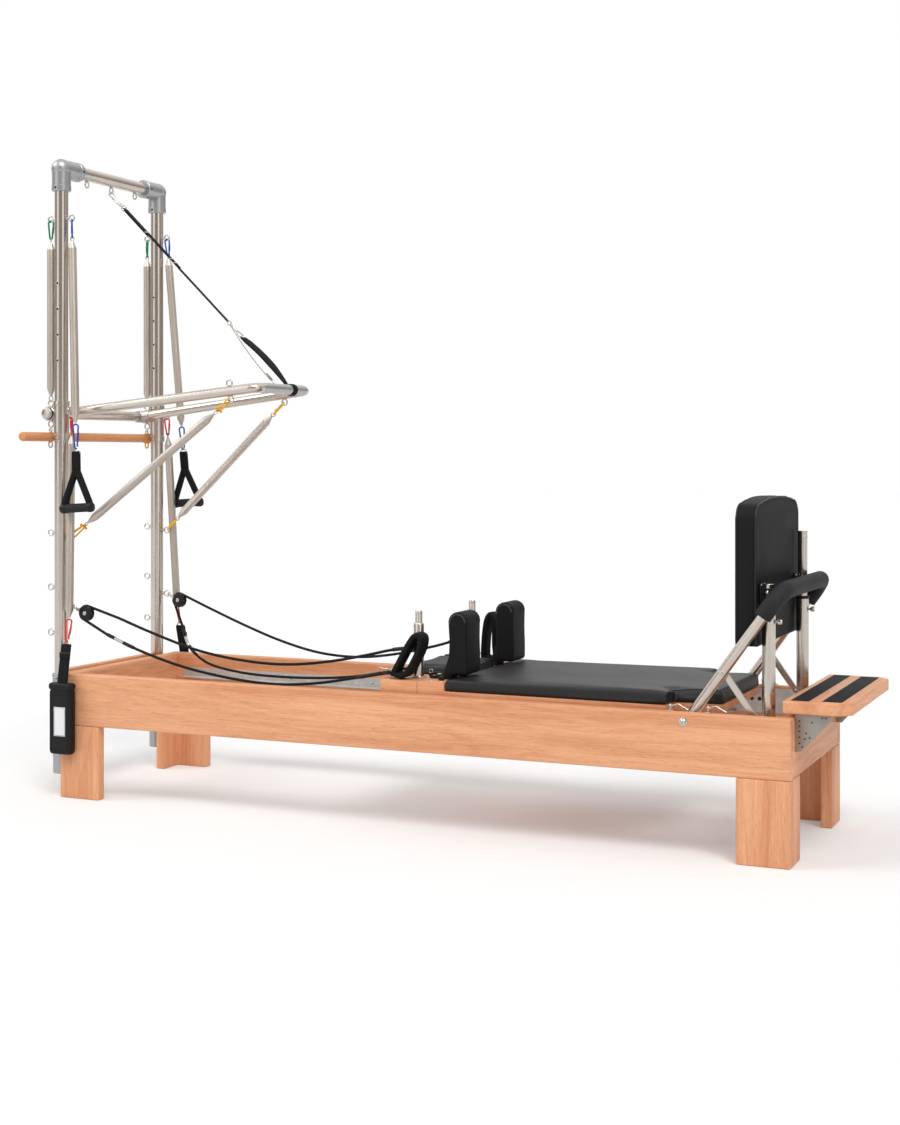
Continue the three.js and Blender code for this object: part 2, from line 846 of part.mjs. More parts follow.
// Open helix of one wire from the local origin down, with its ends drawn in to straight tails
function openCoil(from, to, turns) {
  const radius = coilRadius - coilWire;
  const body = to - from - 2 * coilCone;
  const steps = turns * stepsPerTurn;
  const points = [];
  const along = (x, y, z) => points.push(new THREE.Vector3(x, y, z));
  along(0, 0, -from);
  along(0, 0, -from - 2 * coilWire);
  for (let i = 0; i <= steps; i += 1) {
    const share = i / steps;
    const angle = 2 * Math.PI * turns * share;
    const grow = Math.min(1, Math.min(share, 1 - share) * turns + tailShare);
    along(radius * grow * Math.cos(angle), radius * grow * Math.sin(angle),
      -from - coilCone - body * share);
  }
  along(0, 0, -to + 2 * coilWire);
  along(0, 0, -to);
  return { geometry: tube(points, coilWire, coilSides), points };
}

// Least distance between the surfaces of turns that aren't neighbours along the wire
function leastGap(points) {
  let least = Infinity;
  for (let i = 0; i < points.length; i += 1) {
    for (let k = i + stepsPerTurn - 2; k < points.length; k += 1) {
      least = Math.min(least, points[i].distanceTo(points[k]) - 2 * coilWire);
    }
  }
  return least;
}

// Places a group at one seat so that its local -Z looks at the other, and gives the distance
function hangingGroup(from, to) {
  const made = group(from.x, from.y, from.z);
  const direction = to.clone().sub(from).normalize();
  made.quaternion.setFromUnitVectors(new THREE.Vector3(0, 0, -1), direction);
  return { made, length: from.distanceTo(to) };
}

// The place on a ring's outer edge that looks at another place
function ringSeat(centre, target) {
  const away = target.clone().sub(centre).normalize();
  return centre.clone().addScaledVector(away, eyeRadius + eyeWire + seatGap);
}

// Springs between the posts and the push bar, each with a snap clip at both ends
function addPushSprings(barEyes) {
  Object.entries(sides).forEach(([side, sign], i) => {
    const postEye = new THREE.Vector3(postX + ringReach, sign * postY, pushEyeZ);
    const start = ringSeat(postEye, barEyes[i]);
    const end = ringSeat(barEyes[i], postEye);
    const { made, length } = hangingGroup(start, end);
    const coil = openCoil(clipLength - clipWire / 2, length - clipLength + clipWire / 2, coilTurns);
    console.log(`push_spring_${side}: least gap between turns ${leastGap(coil.points).toFixed(2)} mm`);
    add(`push_spring_${side}`, combine([
      clip(clipLength),
      coil.geometry,
      clip(clipLength).translate(0, 0, clipLength - length),
    ]), springSteel, made);
  });
}

// Long springs on the tower: back ones clipped between two rings, front ones with a handle,
// and leg springs with a cuff
function addHangingSprings() {
  for (const [side, sign] of Object.entries(sides)) {
    const y = sign * postY;
    const backTop = new THREE.Vector3(postX - ringReach, y, topRingZ);
    const backFoot = new THREE.Vector3(postX - ringReach, y, pushPivotZ + collarBoss + eyeRadius);
    const back = hangingGroup(ringSeat(backTop, backFoot), ringSeat(backFoot, backTop));
    add(`back_spring_${side}`, combine([
      clip(clipLength),
      closedCoil(clipLength - clipWire / 2, back.length),
    ]), springSteel, back.made);

    const frontTop = new THREE.Vector3(postX + ringReach, y, topRingZ);
    const frontFoot = new THREE.Vector3(postX + ringReach + frontSpringLean[0],
      y + sign * frontSpringLean[1], frontSpringFoot);
    const front = hangingGroup(ringSeat(frontTop, frontFoot), frontFoot);
    add(`front_spring_${side}`, combine([
      clip(clipLength),
      closedCoil(clipLength - clipWire / 2, front.length),
    ]), springSteel, front.made);
    addHandle(side, front);

    const legTop = new THREE.Vector3(postX + ringReach, y, pushPivotZ);
    const legFoot = new THREE.Vector3(postX + ringReach + legSpringLean[0],
      y + sign * legSpringLean[1], legSpringFoot);
    const leg = hangingGroup(ringSeat(legTop, legFoot), legFoot);
    add(`leg_spring_${side}`, combine([
      clip(clipLength),
      closedCoil(clipLength - clipWire / 2, leg.length),
    ]), springSteel, leg.made);
    addCuff(side, sign, legFoot);
  }
}

// Handle below a front spring: clip, strap, two webbing legs and the grip
function addHandle(side, { made, length }) {
  const hung = group(0, 0, -length - seatGap, made);
  const strapTop = -handleClip + clipWire / 2;
  const apex = strapTop - handleStrap;
  const gripZ = apex - handleDrop;
  const half = handleGripLength / 2;
  const legs = [-1, 1].map((way) => tube([
    new THREE.Vector3(0, 0, apex + webRadius),
    new THREE.Vector3(way * (half - webRadius), 0, gripZ),
  ], webRadius, 8));
  add(`handle_${side}`, combine([
    clip(handleClip),
    box(-strapWidth / 2, strapWidth / 2, -strapThickness / 2, strapThickness / 2, apex, strapTop),
    ...legs,
    rod("x", handleGripRadius, -half, half, [0, gripZ], 12),
  ]), webbing, hung);
}

// Cuff below a leg spring: its strap leans out over the rail and the folded pad hangs outside
function addCuff(side, sign, top) {
  const padTop = top.z - cuffClip - cuffStrap;
  const padY = sign * (halfWidth + cuffThickness / 2 + cuffOffset);
  const foot = new THREE.Vector3(top.x + cuffOffset, padY, padTop);
  const hung = group(0, 0, 0);
  const start = top.clone();
  start.z -= cuffDrop;
  const lean = new THREE.Quaternion().setFromUnitVectors(new THREE.Vector3(0, 0, -1),
    foot.clone().sub(start).normalize());
  const length = start.distanceTo(foot);
  const place = (geometry) => geometry.applyQuaternion(lean).translate(start.x, start.y, start.z);
  const strap = box(-strapWidth / 2, strapWidth / 2, -strapThickness / 2, strapThickness / 2,
    -length - strapWidth / 2, -cuffClip + clipWire / 2);
  const [half, deep] = [cuffWidth / 2, cuffThickness / 2];
  const pad = prismY(chamfered(-half, half, -cuffHeight, 0, cuffCorner), -deep, deep)
    .translate(foot.x, foot.y, foot.z);
  add(`cuff_${side}`, combine([place(clip(cuffClip)), place(strap), pad]), webbing, hung);
}

// Wooden roll-down bar behind the posts, hung from the collars' lower eyes
function addRollDownBar() {
  const eyeTop = pushPivotZ - collarBoss - eyeRadius;
  const reach = eyeTop - eyeRadius - eyeWire - seatGap - dowelZ;
  const place = group(dowelX, 0, dowelZ);
  const loops = Object.values(sides).flatMap((sign) => [
    rod("z", eyeWire, -dowelRadius - eyeWire, reach, [0, sign * postY], 6),
    eye("x", 0, sign * postY, -dowelRadius - eyeRadius),
  ]);
  add("roll_down_bar", combine([
    rod("y", dowelRadius, -dowelNear, dowelFar, [0, 0], 14),
    ...loops,
  ]), oiledDowel, place);
}

// Pulley on each post, with its sheave on an axle between two cheeks
function addPulleys() {
  for (const [side, sign] of Object.entries(sides)) {
    const centre = new THREE.Vector3(sheaveX, sign * sheaveY, sheaveZ);
    const hub = group(centre.x, centre.y, centre.z);
    const half = sheaveWidth / 2;
    const outer = half + seatGap + cheekThickness;
    const eyeCentre = new THREE.Vector3(postX + ringReach, sign * postY, pulleyEyeZ);
    const link = ringSeat(eyeCentre, centre).sub(centre);
    const cheeks = [-1, 1].map((way) => rod("y", cheekRadius, way * (half + seatGap), way * outer,
      [0, 0], 14));
    const inner = link.clone().setLength(
      sheaveGroove + 2 * ropeRadius + ropeSlack + yokeRadius + seatGap);
    const bridge = tube([link, inner], yokeRadius, 8);
    const yoke = tube([
      inner.clone().setY(-outer), inner.clone().setY(outer)], yokeRadius, 8);
    const arms = [-1, 1].map((way) => {
      const y = way * (outer - cheekThickness / 2);
      return tube([inner.clone().setY(y), inner.clone().multiplyScalar(cheekArmShare).setY(y)],
        cheekThickness / 2, 6);
    });
    add(`pulley_block_${side}`, combine([
      ...cheeks, bridge, yoke, ...arms, rod("y", sheaveAxle, -outer, outer, [0, 0], 12),
    ]), blackPlastic, hub);
    add(`sheave_${side}`, turned([
      [sheaveBore, -half], [sheaveRadius, -half], [sheaveRadius, -half + sheaveLip],
      [sheaveGroove, -sheaveGrooveWidth / 2], [sheaveGroove, sheaveGrooveWidth / 2],
      [sheaveRadius, half - sheaveLip], [sheaveRadius, half], [sheaveBore, half],
      [sheaveBore, -half],
    ], 16).rotateX(Math.PI / 2), castMetal, hub);
  }
}

// Routes of the ropes' strands between the pulley and the carriage, near side, in millimetres;
// each runs from the pulley to the carriage, and the far ones have their y mirrored.
const upperStrand = {
  near: [[180, 270, 586], [299, 265, 545], [483, 252, 490], [663, 240, 464], [796, 230, 461],
    [926, 221, 475], [1054, 211, 500], [1150, 206, 522]],
  far: [[180, 270, 577], [335, 254, 524], [497, 239, 475], [656, 224, 443], [800, 217, 436],
    [930, 212, 450], [1060, 208, 478], [1150, 206, 503]],
};
const lowerStrand = {
  near: [[130, 271, 533], [249, 265, 486], [389, 256, 444], [481, 249, 424], [617, 239, 404],
    [750, 230, 396], [881, 220, 405], [985, 212, 422], [1080, 202, 441]],
  far: [[72, 275, 505], [100, 270, 440], [175, 260, 385], [320, 248, 357], [520, 240, 350],
    [740, 232, 362], [900, 222, 387], [1000, 212, 410], [1080, 202, 436]],
};
const upperEndZ = 530;
const lowerEndZ = 452;
const strandEndY = 200;

function addRopes() {
  const wrap = sheaveGroove + ropeRadius + ropeSlack;
  const wrapSteps = 8;
  const strandSteps = 17;
  for (const [side, sign] of Object.entries(sides)) {
    const point = ([x, y, z]) => new THREE.Vector3(x, sign * y, z);
    const strand = (list, end) => {
      const curve = new THREE.CatmullRomCurve3([...list.map(point), end], false, "centripetal");
      return curve.getSpacedPoints(strandSteps);
    };
    const leaving = ([x, , z], way) => {
      const [along, up] = [x - sheaveX, z - sheaveZ];
      return Math.atan2(up, along) + way * Math.acos(wrap / Math.hypot(along, up));
    };
    const riserSeat = point([riserX - riserRadius - ropeRadius, riserY, upperEndZ]);
    const cleatSeat = point([matX - platformLength - ropeSeat, strandEndY, lowerEndZ]);
    const over = leaving(upperStrand[side][0], 1);
    const under = leaving(lowerStrand[side][0], -1) + 2 * Math.PI;
    const around = [];
    for (let i = 0; i <= wrapSteps; i += 1) {
      const angle = THREE.MathUtils.lerp(over, under, i / wrapSteps);
      around.push(new THREE.Vector3(sheaveX + wrap * Math.cos(angle), sign * sheaveY,
        sheaveZ + wrap * Math.sin(angle)));
    }
    const upper = strand(upperStrand[side], riserSeat).reverse();
    const lower = strand(lowerStrand[side], cleatSeat);
    add(`rope_${side}`, tube([...upper, ...around, ...lower], ropeRadius, 8), webbing);
  }
}

// Strap that holds the push bar up, from the top bar's middle eye to the bar's tip
function addSafetyStrap() {
  const top = new THREE.Vector3(postX, 0, topBarZ - topBarRadius - eyeRadius - eyeWire);
  const reach = pushLength - pushTube - safetyThickness;
  const tip = new THREE.Vector3(
    postX - pushPivotReach + reach * Math.cos(pushLift),
    safetyTipY,
    pushPivotZ + reach * Math.sin(pushLift) + pushTube + safetyPadThickness,
  );
  const seat = top.clone().setZ(top.z - eyeRadius - eyeWire - 2 * seatGap);
  const { made, length } = hangingGroup(seat, tip);
  const half = safetyWidth / 2;
  const padHalf = safetyPadWidth / 2;
  const padTop = -length + safetyPadLength;
  const flat = (x, z) => [x, z];
  const web = prismX([
    flat(-half, padTop), flat(half, padTop), flat(half, -clipLength + clipWire / 2),
    flat(-half, -clipLength + clipWire / 2),
  ], -safetyThickness / 2, safetyThickness / 2);
  const pad = prismX([
    flat(-padHalf, -length), flat(padHalf, -length), flat(padHalf, padTop - half),
    flat(half, padTop + half), flat(-half, padTop + half), flat(-padHalf, padTop - half),
  ], -safetyPadThickness / 2, safetyPadThickness / 2);
  add("safety_strap", combine([clip(clipLength), web, pad]), webbing, made);
}

// Carriage: wooden deck with its head platform, wheels, mat, headrest, shoulder rests, risers
function addCarriage() {
  const carriage = group(matX, 0, 0);
  const deckTop = deckBottom + deckThickness;
  const platformTop = deckBottom + platformThickness;
  const half = matWidth / 2 - deckInset;
  const tongueHalf = tongueWidth / 2 - deckInset;
  const tongueEnd = matLength + tongueLength - deckInset;
  const deckShape = [
    [-platformLength, -half], [matLength - deckInset, -half],
    [matLength - deckInset, -tongueHalf], [tongueEnd, -tongueHalf],
    [tongueEnd, tongueHalf], [matLength - deckInset, tongueHalf],
    [matLength - deckInset, half], [-platformLength, half],
  ];
  const axleZ = trackFloor + shelfThickness + seatGap + wheelRadius;
  const wheelsets = [
    ["wheelset_head", -platformLength + wheelSetback],
    ["wheelset_foot", matLength - wheelSetback],
  ];
  const hangers = wheelsets.flatMap(([, x]) => Object.values(sides).map((sign) => box(
    x - wheelHangerLength / 2, x + wheelHangerLength / 2,
    sign * wheelHangerY - wheelHangerWidth / 2, sign * wheelHangerY + wheelHangerWidth / 2,
    axleZ - wheelHangerWidth, deckTop)));
  const bores = wheelsets.map(([, x]) => rod("y", wheelAxle + seatGap, -half, half, [x, axleZ], 12));
  const springHook = box(springHangerX - matX, springHangerX - matX + springHangerSize,
    -springHangerSize / 2, springHangerSize / 2, springBarZ + springBarHeight / 2
    - springHangerSize / 2, deckTop);
  const cleats = Object.values(sides).map((sign) => box(-platformLength,
    -platformLength + cleatSize, sign * strandEndY - cleatSize / 2,
    sign * strandEndY + cleatSize / 2, platformTop - cleatSize, platformTop + cleatSize));
  const pegHoles = Object.values(sides).map((sign) => rod("z", restPegRadius + seatGap,
    platformTop - restPegDepth - seatGap, platformTop + cutOverrun,
    [restX - matX - restPegSetback, sign * restY], 10));
  add("carriage_deck", combine([
    prismZ(deckShape, deckBottom, deckTop),
    box(-platformLength, -seatGap, -half, half, deckBottom, platformTop),
    ...hangers, springHook, ...cleats,
  ], [...bores, ...pegHoles]), beech, carriage);

  const wheelY = railInner - seatGap - trackWall - wheelSideGap;
  for (const [name, x] of wheelsets) {
    const axle = group(x, 0, axleZ, carriage);
    add(name, combine([
      rod("y", wheelAxle, -wheelY, wheelY, [0, 0], 12),
      rod("y", wheelRadius, wheelY - wheelWidth, wheelY, [0, 0], 20),
      rod("y", wheelRadius, -wheelY, -wheelY + wheelWidth, [0, 0], 20),
    ]), blackPlastic, axle);
  }

  const fullHalf = matWidth / 2;
  const narrow = tongueWidth / 2;
  const matEnd = matLength + tongueLength;
  const matRows = [
    ...endRows(0, fullHalf, matEdge),
    ...matMiddleShares.map(([along, lift]) => [matLength * along, fullHalf, lift]),
    [matLength, fullHalf - matEdge / 2, matFootShare],
    [matLength + matEdge / 2, narrow + matEdge, matFootShare],
    [matLength + matEdge, narrow, matFootShare],
    [matLength + tongueLength / 2, narrow, matFootShare],
    ...endRows(matEnd, narrow, -matEdge).reverse(),
  ];
  add("mat", cushion(matRows, matThickness, matCrown).translate(0, 0, deckTop + seatGap),
    upholstery, carriage);

  const headrest = group(-seatGap, 0, platformTop + seatGap, carriage);
  add("headrest", cushion(plainRows(-headrestLength, -seatGap, headrestWidth / 2, headrestEdge),
    headrestThickness, headrestCrown), upholstery, headrest);

  for (const [side, sign] of Object.entries(sides)) {
    addShoulderRest(side, sign, carriage, platformTop, deckTop + matThickness);
    const riser = group(riserX - matX, sign * riserY, platformTop + seatGap, carriage);
    add(`riser_${side}`, turned([
      [0, 0], [riserBaseRadius, 0], [riserBaseRadius, riserBaseHeight],
      [riserRadius, riserBaseHeight], [riserRadius, riserHeight], [riserNeckRadius, riserHeight],
      [riserNeckRadius, riserHeight + riserNeckHeight], [0, riserHeight + riserNeckHeight],
    ], 14), stainless, riser);
  }
}

// Shares of a shoulder rest's height, of half its width and of half its depth, from its foot up
const restShares = [
  [0.01, 0.9, 0.9], [0, 0.97, 0.97], [0.05, 1, 1], [0.3, 0.97, 0.94], [0.5, 0.94, 0.9],
  [0.68, 0.98, 1], [0.82, 0.98, 1.08], [0.93, 0.8, 0.98], [0.985, 0.5, 0.7], [1, 0.15, 0.3],
];

// Padded shoulder rest on an angle plate that leans back and pegs into the platform
function addShoulderRest(side, sign, carriage, platformTop, matTop) {
  const rest = group(restX - matX, sign * restY, 0, carriage);
  const foot = matTop + matCrown + seatGap;
  const count = 16;
  const rings = restShares.map(([up, wide, deep]) => {
    const ring = [];
    for (let i = 0; i < count; i += 1) {
      const angle = (2 * Math.PI * i) / count;
      const [c, s] = [Math.cos(angle), Math.sin(angle)];
      const soften = (value) => Math.sign(value) * Math.abs(value) ** 0.45;
      ring.push(new THREE.Vector3(
        restDepth / 2 + (deep * restDepth * soften(c)) / 2,
        (wide * restWidth * soften(s)) / 2,
        foot + up * restHeight));
    }
    return ring;
  });
  const base = platformTop + seatGap;
  const heel = -restPlateReach;
  const buried = restDepth * restBuriedShare;
  const spine = prismY([
    [heel, base], [0, base], [0, foot], [buried, foot], [buried, foot + restHeight / 2],
    [0, foot + restHeight / 2], [heel * restSkirtShares[0], foot + restHeight * restSkirtShares[1]],
    [heel * restSkirtShares[2], base + restPlateThickness * 3], [heel, base + restPlateThickness],
  ], -restPlateWidth / 2, restPlateWidth / 2);
  const peg = rod("z", restPegRadius, platformTop - restPegDepth, base + restPlateThickness,
    [-restPegSetback, 0], 10);
  add(`shoulder_rest_${side}`, combine([loft(rings), spine, peg]), upholstery, rest);
}

// Spring below the carriage, from its hanger to the spring bar
function addCarriageSpring() {
  const from = springHangerX + springHangerSize + seatGap;
  const to = springBarX - seatGap;
  const place = group(from, 0, springBarZ + springBarHeight / 2);
  place.rotation.y = -Math.PI / 2;
  add("carriage_spring", closedCoil(0, to - from), springSteel, place);
}

// Footbar with its foam grip, standing up along local Z before it leans, and its two struts
function addFootbar() {
  const pivot = group(footbarPivotX, 0, footbarPivotZ);
  pivot.rotation.y = footbarLean;
  const legY = railInner - trackWall - seatGap - footbarSideGap - footbarTube;
  const at = (y, z) => new THREE.Vector3(0, y, z);
  const path = rounded([
    at(-legY, -footbarTube), at(-legY, footbarRadius), at(legY, footbarRadius),
    at(legY, -footbarTube)], footbarBend, 4);
  const gripStart = footbarRadius - gripLegLength;
  const gripPath = path.slice(1, -1);
  gripPath.unshift(at(-legY, gripStart));
  gripPath.push(at(legY, gripStart));
  const pinEnd = railInner - 2 * seatGap;
  const bossEnd = legY - footbarTube - seatGap;
  const bosses = Object.values(sides).flatMap((sign) => [
    rod("y", pivotPin, sign * legY, sign * pinEnd, [0, 0], 12),
    rod("y", strutBoss, sign * bossEnd, sign * legY, [0, strutLength], 10),
  ]);
  add("footbar", combine([tube(path, footbarTube), ...bosses]), stainless, pivot);
  const outer = toSolid(tube(gripPath, gripRadius, 12));
  add("footbar_grip", fromSolid(outer.subtract(toSolid(tube(path, footbarTube + seatGap)))),
    blackFoam, pivot);
  for (const [side, sign] of Object.entries(sides)) {
    const knee = group(0, 0, strutLength, pivot);
    knee.rotation.y = -2 * footbarLean;
    const outerFace = sign * (bossEnd - seatGap);
    const innerFace = outerFace - sign * strutThickness;
    const half = strutWidth / 2;
    const bar = prismY(chamfered(-half, half, -strutLength - half, half, half / 2),
      Math.min(outerFace, innerFace), Math.max(outerFace, innerFace));
    add(`strut_${side}`, combine([
      bar,
      rod("y", strutPin, innerFace, sign * pinEnd, [0, -strutLength], 10),
    ]), stainless, knee);
  }
}

// Padded jump board on two stems that drop into sockets inside the foot end
function addJumpBoard() {
  const half = boardWidth / 2;
  const back = boardX + boardThickness / 2;
  const middle = boardThickness / 2;
  const rings = boardRowShares.map((share, row) => {
    const edge = Math.min(1, Math.min(share, 1 - share) / boardEdgeShare);
    const fullHeight = boardHeight * share;
    const nearTop = Math.max(0, fullHeight - boardHeight + boardCorner);
    const inset = boardCorner - Math.sqrt(Math.max(0, boardCorner ** 2 - nearTop ** 2));
    const width = half - inset - (row === 0 ? boardFootInset : 0);
    return cushionShares.map(([across, up, top]) => {
      const arch = boardArch * share * (1 - (across * width / half) ** 2);
      const squeeze = THREE.MathUtils.lerp(boardSqueezeShare, 1, edge);
      const depth = middle + (up * boardThickness - middle) * squeeze + top * boardCrown * edge;
      return new THREE.Vector3(back - depth, across * width, boardFoot + fullHeight + arch);
    });
  });
  add("jump_board", loft(rings), upholstery);

  const socket = (sign) => [
    rod("z", socketRadius, socketFoot, socketTop, [socketX, (sign * socketSpacing) / 2], 14),
    box(socketX, frameLength - crossThickness - seatGap,
      (sign * socketSpacing) / 2 - socketRadius / 2, (sign * socketSpacing) / 2 + socketRadius / 2,
      socketBarZ, socketBarZ + socketBarHeight),
  ];
  const socketBack = frameLength - crossThickness - seatGap;
  const ends = socketSpacing / 2 + socketRadius;
  add("jump_board_socket", combine([
    ...socket(-1), ...socket(1),
    box(socketBack - gussetThickness, socketBack, -ends, ends, socketBarZ,
      socketBarZ + socketBarHeight),
  ], [-1, 1].map((sign) => rod("z", stemRadius + seatGap, socketFoot - cutOverrun,
    socketTop + cutOverrun, [socketX, (sign * socketSpacing) / 2], 14))), stainless);

  const stems = Object.entries({ near: stemNearTop, far: stemFarTop }).flatMap(([side, top]) => {
    const y = (sides[side] * socketSpacing) / 2;
    return [
      rod("z", stemRadius, stemFoot, top, [socketX, y], 14),
      box(back + seatGap, socketX, y - stemRadius, y + stemRadius, stemPlateZ,
        stemPlateZ + stemPlateHeight),
    ];
  });
  add("jump_board_stems", combine([
    ...stems,
    box(back + seatGap, back + seatGap + gussetThickness, -socketSpacing / 2, socketSpacing / 2,
      stemPlateZ, stemPlateZ + stemPlateHeight / 2),
  ]), stainless);
}

addFrame();
addTracks();
addSpringBar();
addStandingPlate();
addTower();
addTowerBase();
addCollars();
addPushSprings(addPushBar());
addHangingSprings();
addRollDownBar();
addPulleys();
addRopes();
addSafetyStrap();
addCarriage();
addCarriageSpring();
addFootbar();
addJumpBoard();

// Middle of the footprint: from the pivot tube behind the tower to the standing plate's edge, and
// from the roll-down bar's near end to the far cuff
const backReach = postX - pushPivotReach - collarBoss;
const cuffReach = halfWidth + cuffThickness + cuffOffset;
unit.position.set(-(backReach + plateStart + plateLength) / 2, (dowelNear - cuffReach) / 2, 0);

export default unit;
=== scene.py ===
"""Dressed model of a reformer with a half tower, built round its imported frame.

Shapes are written in millimetres from the head end of the frame (x), its middle line (y) and
the floor (z), as a maker's drawing gives them. A finished piece is moved to the frame's metres.
"""
import logging
import math
from dataclasses import dataclass
from enum import Enum
from functools import partial
from typing import Callable, Iterable, Sequence

import bmesh
import bpy
from mathutils import Matrix, Vector
from mathutils.bvhtree import BVHTree


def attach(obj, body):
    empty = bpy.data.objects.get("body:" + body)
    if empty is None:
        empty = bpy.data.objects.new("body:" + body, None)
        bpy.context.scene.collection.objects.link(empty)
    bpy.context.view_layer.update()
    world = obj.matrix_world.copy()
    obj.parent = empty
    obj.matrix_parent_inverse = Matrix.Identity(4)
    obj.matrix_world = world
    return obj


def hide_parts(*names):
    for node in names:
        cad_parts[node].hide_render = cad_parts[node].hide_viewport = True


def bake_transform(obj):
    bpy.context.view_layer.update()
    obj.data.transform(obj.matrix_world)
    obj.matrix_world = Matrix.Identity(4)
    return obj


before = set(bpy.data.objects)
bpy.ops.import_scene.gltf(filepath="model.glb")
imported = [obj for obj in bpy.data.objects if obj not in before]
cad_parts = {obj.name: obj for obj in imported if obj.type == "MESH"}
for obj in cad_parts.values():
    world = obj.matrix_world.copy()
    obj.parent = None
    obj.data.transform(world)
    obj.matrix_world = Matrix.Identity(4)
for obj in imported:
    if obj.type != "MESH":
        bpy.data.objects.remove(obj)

LOG = logging.getLogger("reformer")
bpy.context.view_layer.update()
ORIGIN = Vector((-1226, 25, 0))
METRE = 0.001
UP = Vector((0, 0, 1))
ALONG = Vector((1, 0, 0))
ACROSS = Vector((0, 1, 0))
SIDES = {"near": -1, "far": 1}
Point = Sequence[float]


class Axis(Enum):
    """A direction of the frame."""

    X = 0
    Y = 1
    Z = 2


def aimed(place: Point, direction: Vector, side: Vector | None = None) -> Matrix:
    """Frame at a place whose Z looks along a direction.

    Args:
        place: Where the frame stands.
        direction: The way its Z looks.
        side: The way its X looks, as nearly as it can.

    Returns:
        The frame's matrix.
    """
    z = Vector(direction).normalized()
    x = Vector(side) if side is not None else z.orthogonal()
    x = (x - z * x.dot(z)).normalized()
    turn = Matrix((x, z.cross(x), z)).transposed().to_4x4()
    return Matrix.Translation(Vector(place)) @ turn


def mirrored(spot: Point, sign: int) -> Vector:
    """A place on the far side of the middle line (1), or its mirror on the near side (-1)."""
    return Vector((spot[0], sign * spot[1], spot[2]))


def outward(sign: int) -> Vector:
    """The way out from the middle line on a side."""
    return Vector((0, sign, 0))


def rounded_path(corners: Sequence[Point], radius: float, steps: int = 8) -> list[Vector]:
    """Path through corners, each rounded by an arc.

    Args:
        corners: The path's corners.
        radius: Radius of the arcs.
        steps: Pieces of each arc.

    Returns:
        Points along the path.
    """
    corners = [Vector(c) for c in corners]
    points = [corners[0]]
    for back, here, ahead in zip(corners, corners[1:], corners[2:]):
        a, b = (back - here).normalized(), (ahead - here).normalized()
        half = a.angle(b) / 2
        centre = here + (a + b).normalized() * radius / math.sin(half)
        start = here + a * radius / math.tan(half) - centre
        end = here + b * radius / math.tan(half) - centre
        start, end = start.normalized(), end.normalized()
        points += [centre + start.slerp(end, k / steps) * radius for k in range(steps + 1)]
    return points + [corners[-1]]


def dense_path(points: Sequence[Point], step: float) -> list[Vector]:
    """The same path with no stretch longer than a step."""
    points = [Vector(p) for p in points]
    out = [points[0]]
    for a, b in zip(points, points[1:]):
        count = max(1, math.ceil((b - a).length / step))
        out += [a.lerp(b, k / count) for k in range(1, count + 1)]
    return out


def smooth_path(points: Sequence[Point], steps: int) -> list[Vector]:
    """Evenly spaced points on a centripetal curve through given places.

    Args:
        points: Places that the curve passes.
        steps: Stretches that it is divided into.

    Returns:
        One point more than there are stretches.
    """
    p = [Vector(q) for q in points]
    p = [p[0] * 2 - p[1], *p, p[-1] * 2 - p[-2]]
    fine = []
    for a, b, c, d in zip(p, p[1:], p[2:], p[3:]):
        t1, t2, t3 = ((b - a).length ** 0.5, (c - b).length ** 0.5, (d - c).length ** 0.5)
        m1 = ((b - a) / t1 - (c - a) / (t1 + t2) + (c - b) / t2) * t2
        m2 = ((c - b) / t2 - (d - b) / (t2 + t3) + (d - c) / t3) * t2
        for k in range(60):
            t = k / 60
            fine.append(b * (2 * t**3 - 3 * t**2 + 1) + m1 * (t**3 - 2 * t**2 + t)
                        + c * (3 * t**2 - 2 * t**3) + m2 * (t**3 - t**2))
    fine.append(p[-2])
    reach = [0.0]
    for a, b in zip(fine, fine[1:]):
        reach.append(reach[-1] + (b - a).length)
    out, i = [], 0
    for k in range(steps + 1):
        goal = reach[-1] * k / steps
        while i < len(fine) - 2 and reach[i + 1] < goal:
            i += 1
        share = (goal - reach[i]) / max(reach[i + 1] - reach[i], 1e-9)
        out.append(fine[i].lerp(fine[i + 1], share))
    return out


def straight_path(start: Vector, end: Vector, count: int) -> list[Vector]:
    """Evenly spaced points from one place to another, one more than the stretches counted."""
    return [start.lerp(end, k / count) for k in range(count + 1)]


def path_length(points: Sequence[Vector]) -> float:
    """Length of a path."""
    return sum((b - a).length for a, b in zip(points, points[1:]))


@dataclass(frozen=True)
class Section:
    """Section of a swept piece: round when its two sizes are equal, flat when they aren't.

    Attributes:
        width: Size across.
        depth: Size the other way.
        sides: Corners round it.
        square: 1 for an oval, and less for a squarer outline.
    """

    width: float
    depth: float
    sides: int = 20
    square: float = 1.0


def round_bar(radius: float, sides: int = 24) -> Section:
    """Section of a round bar."""
    return Section(2 * radius, 2 * radius, sides)


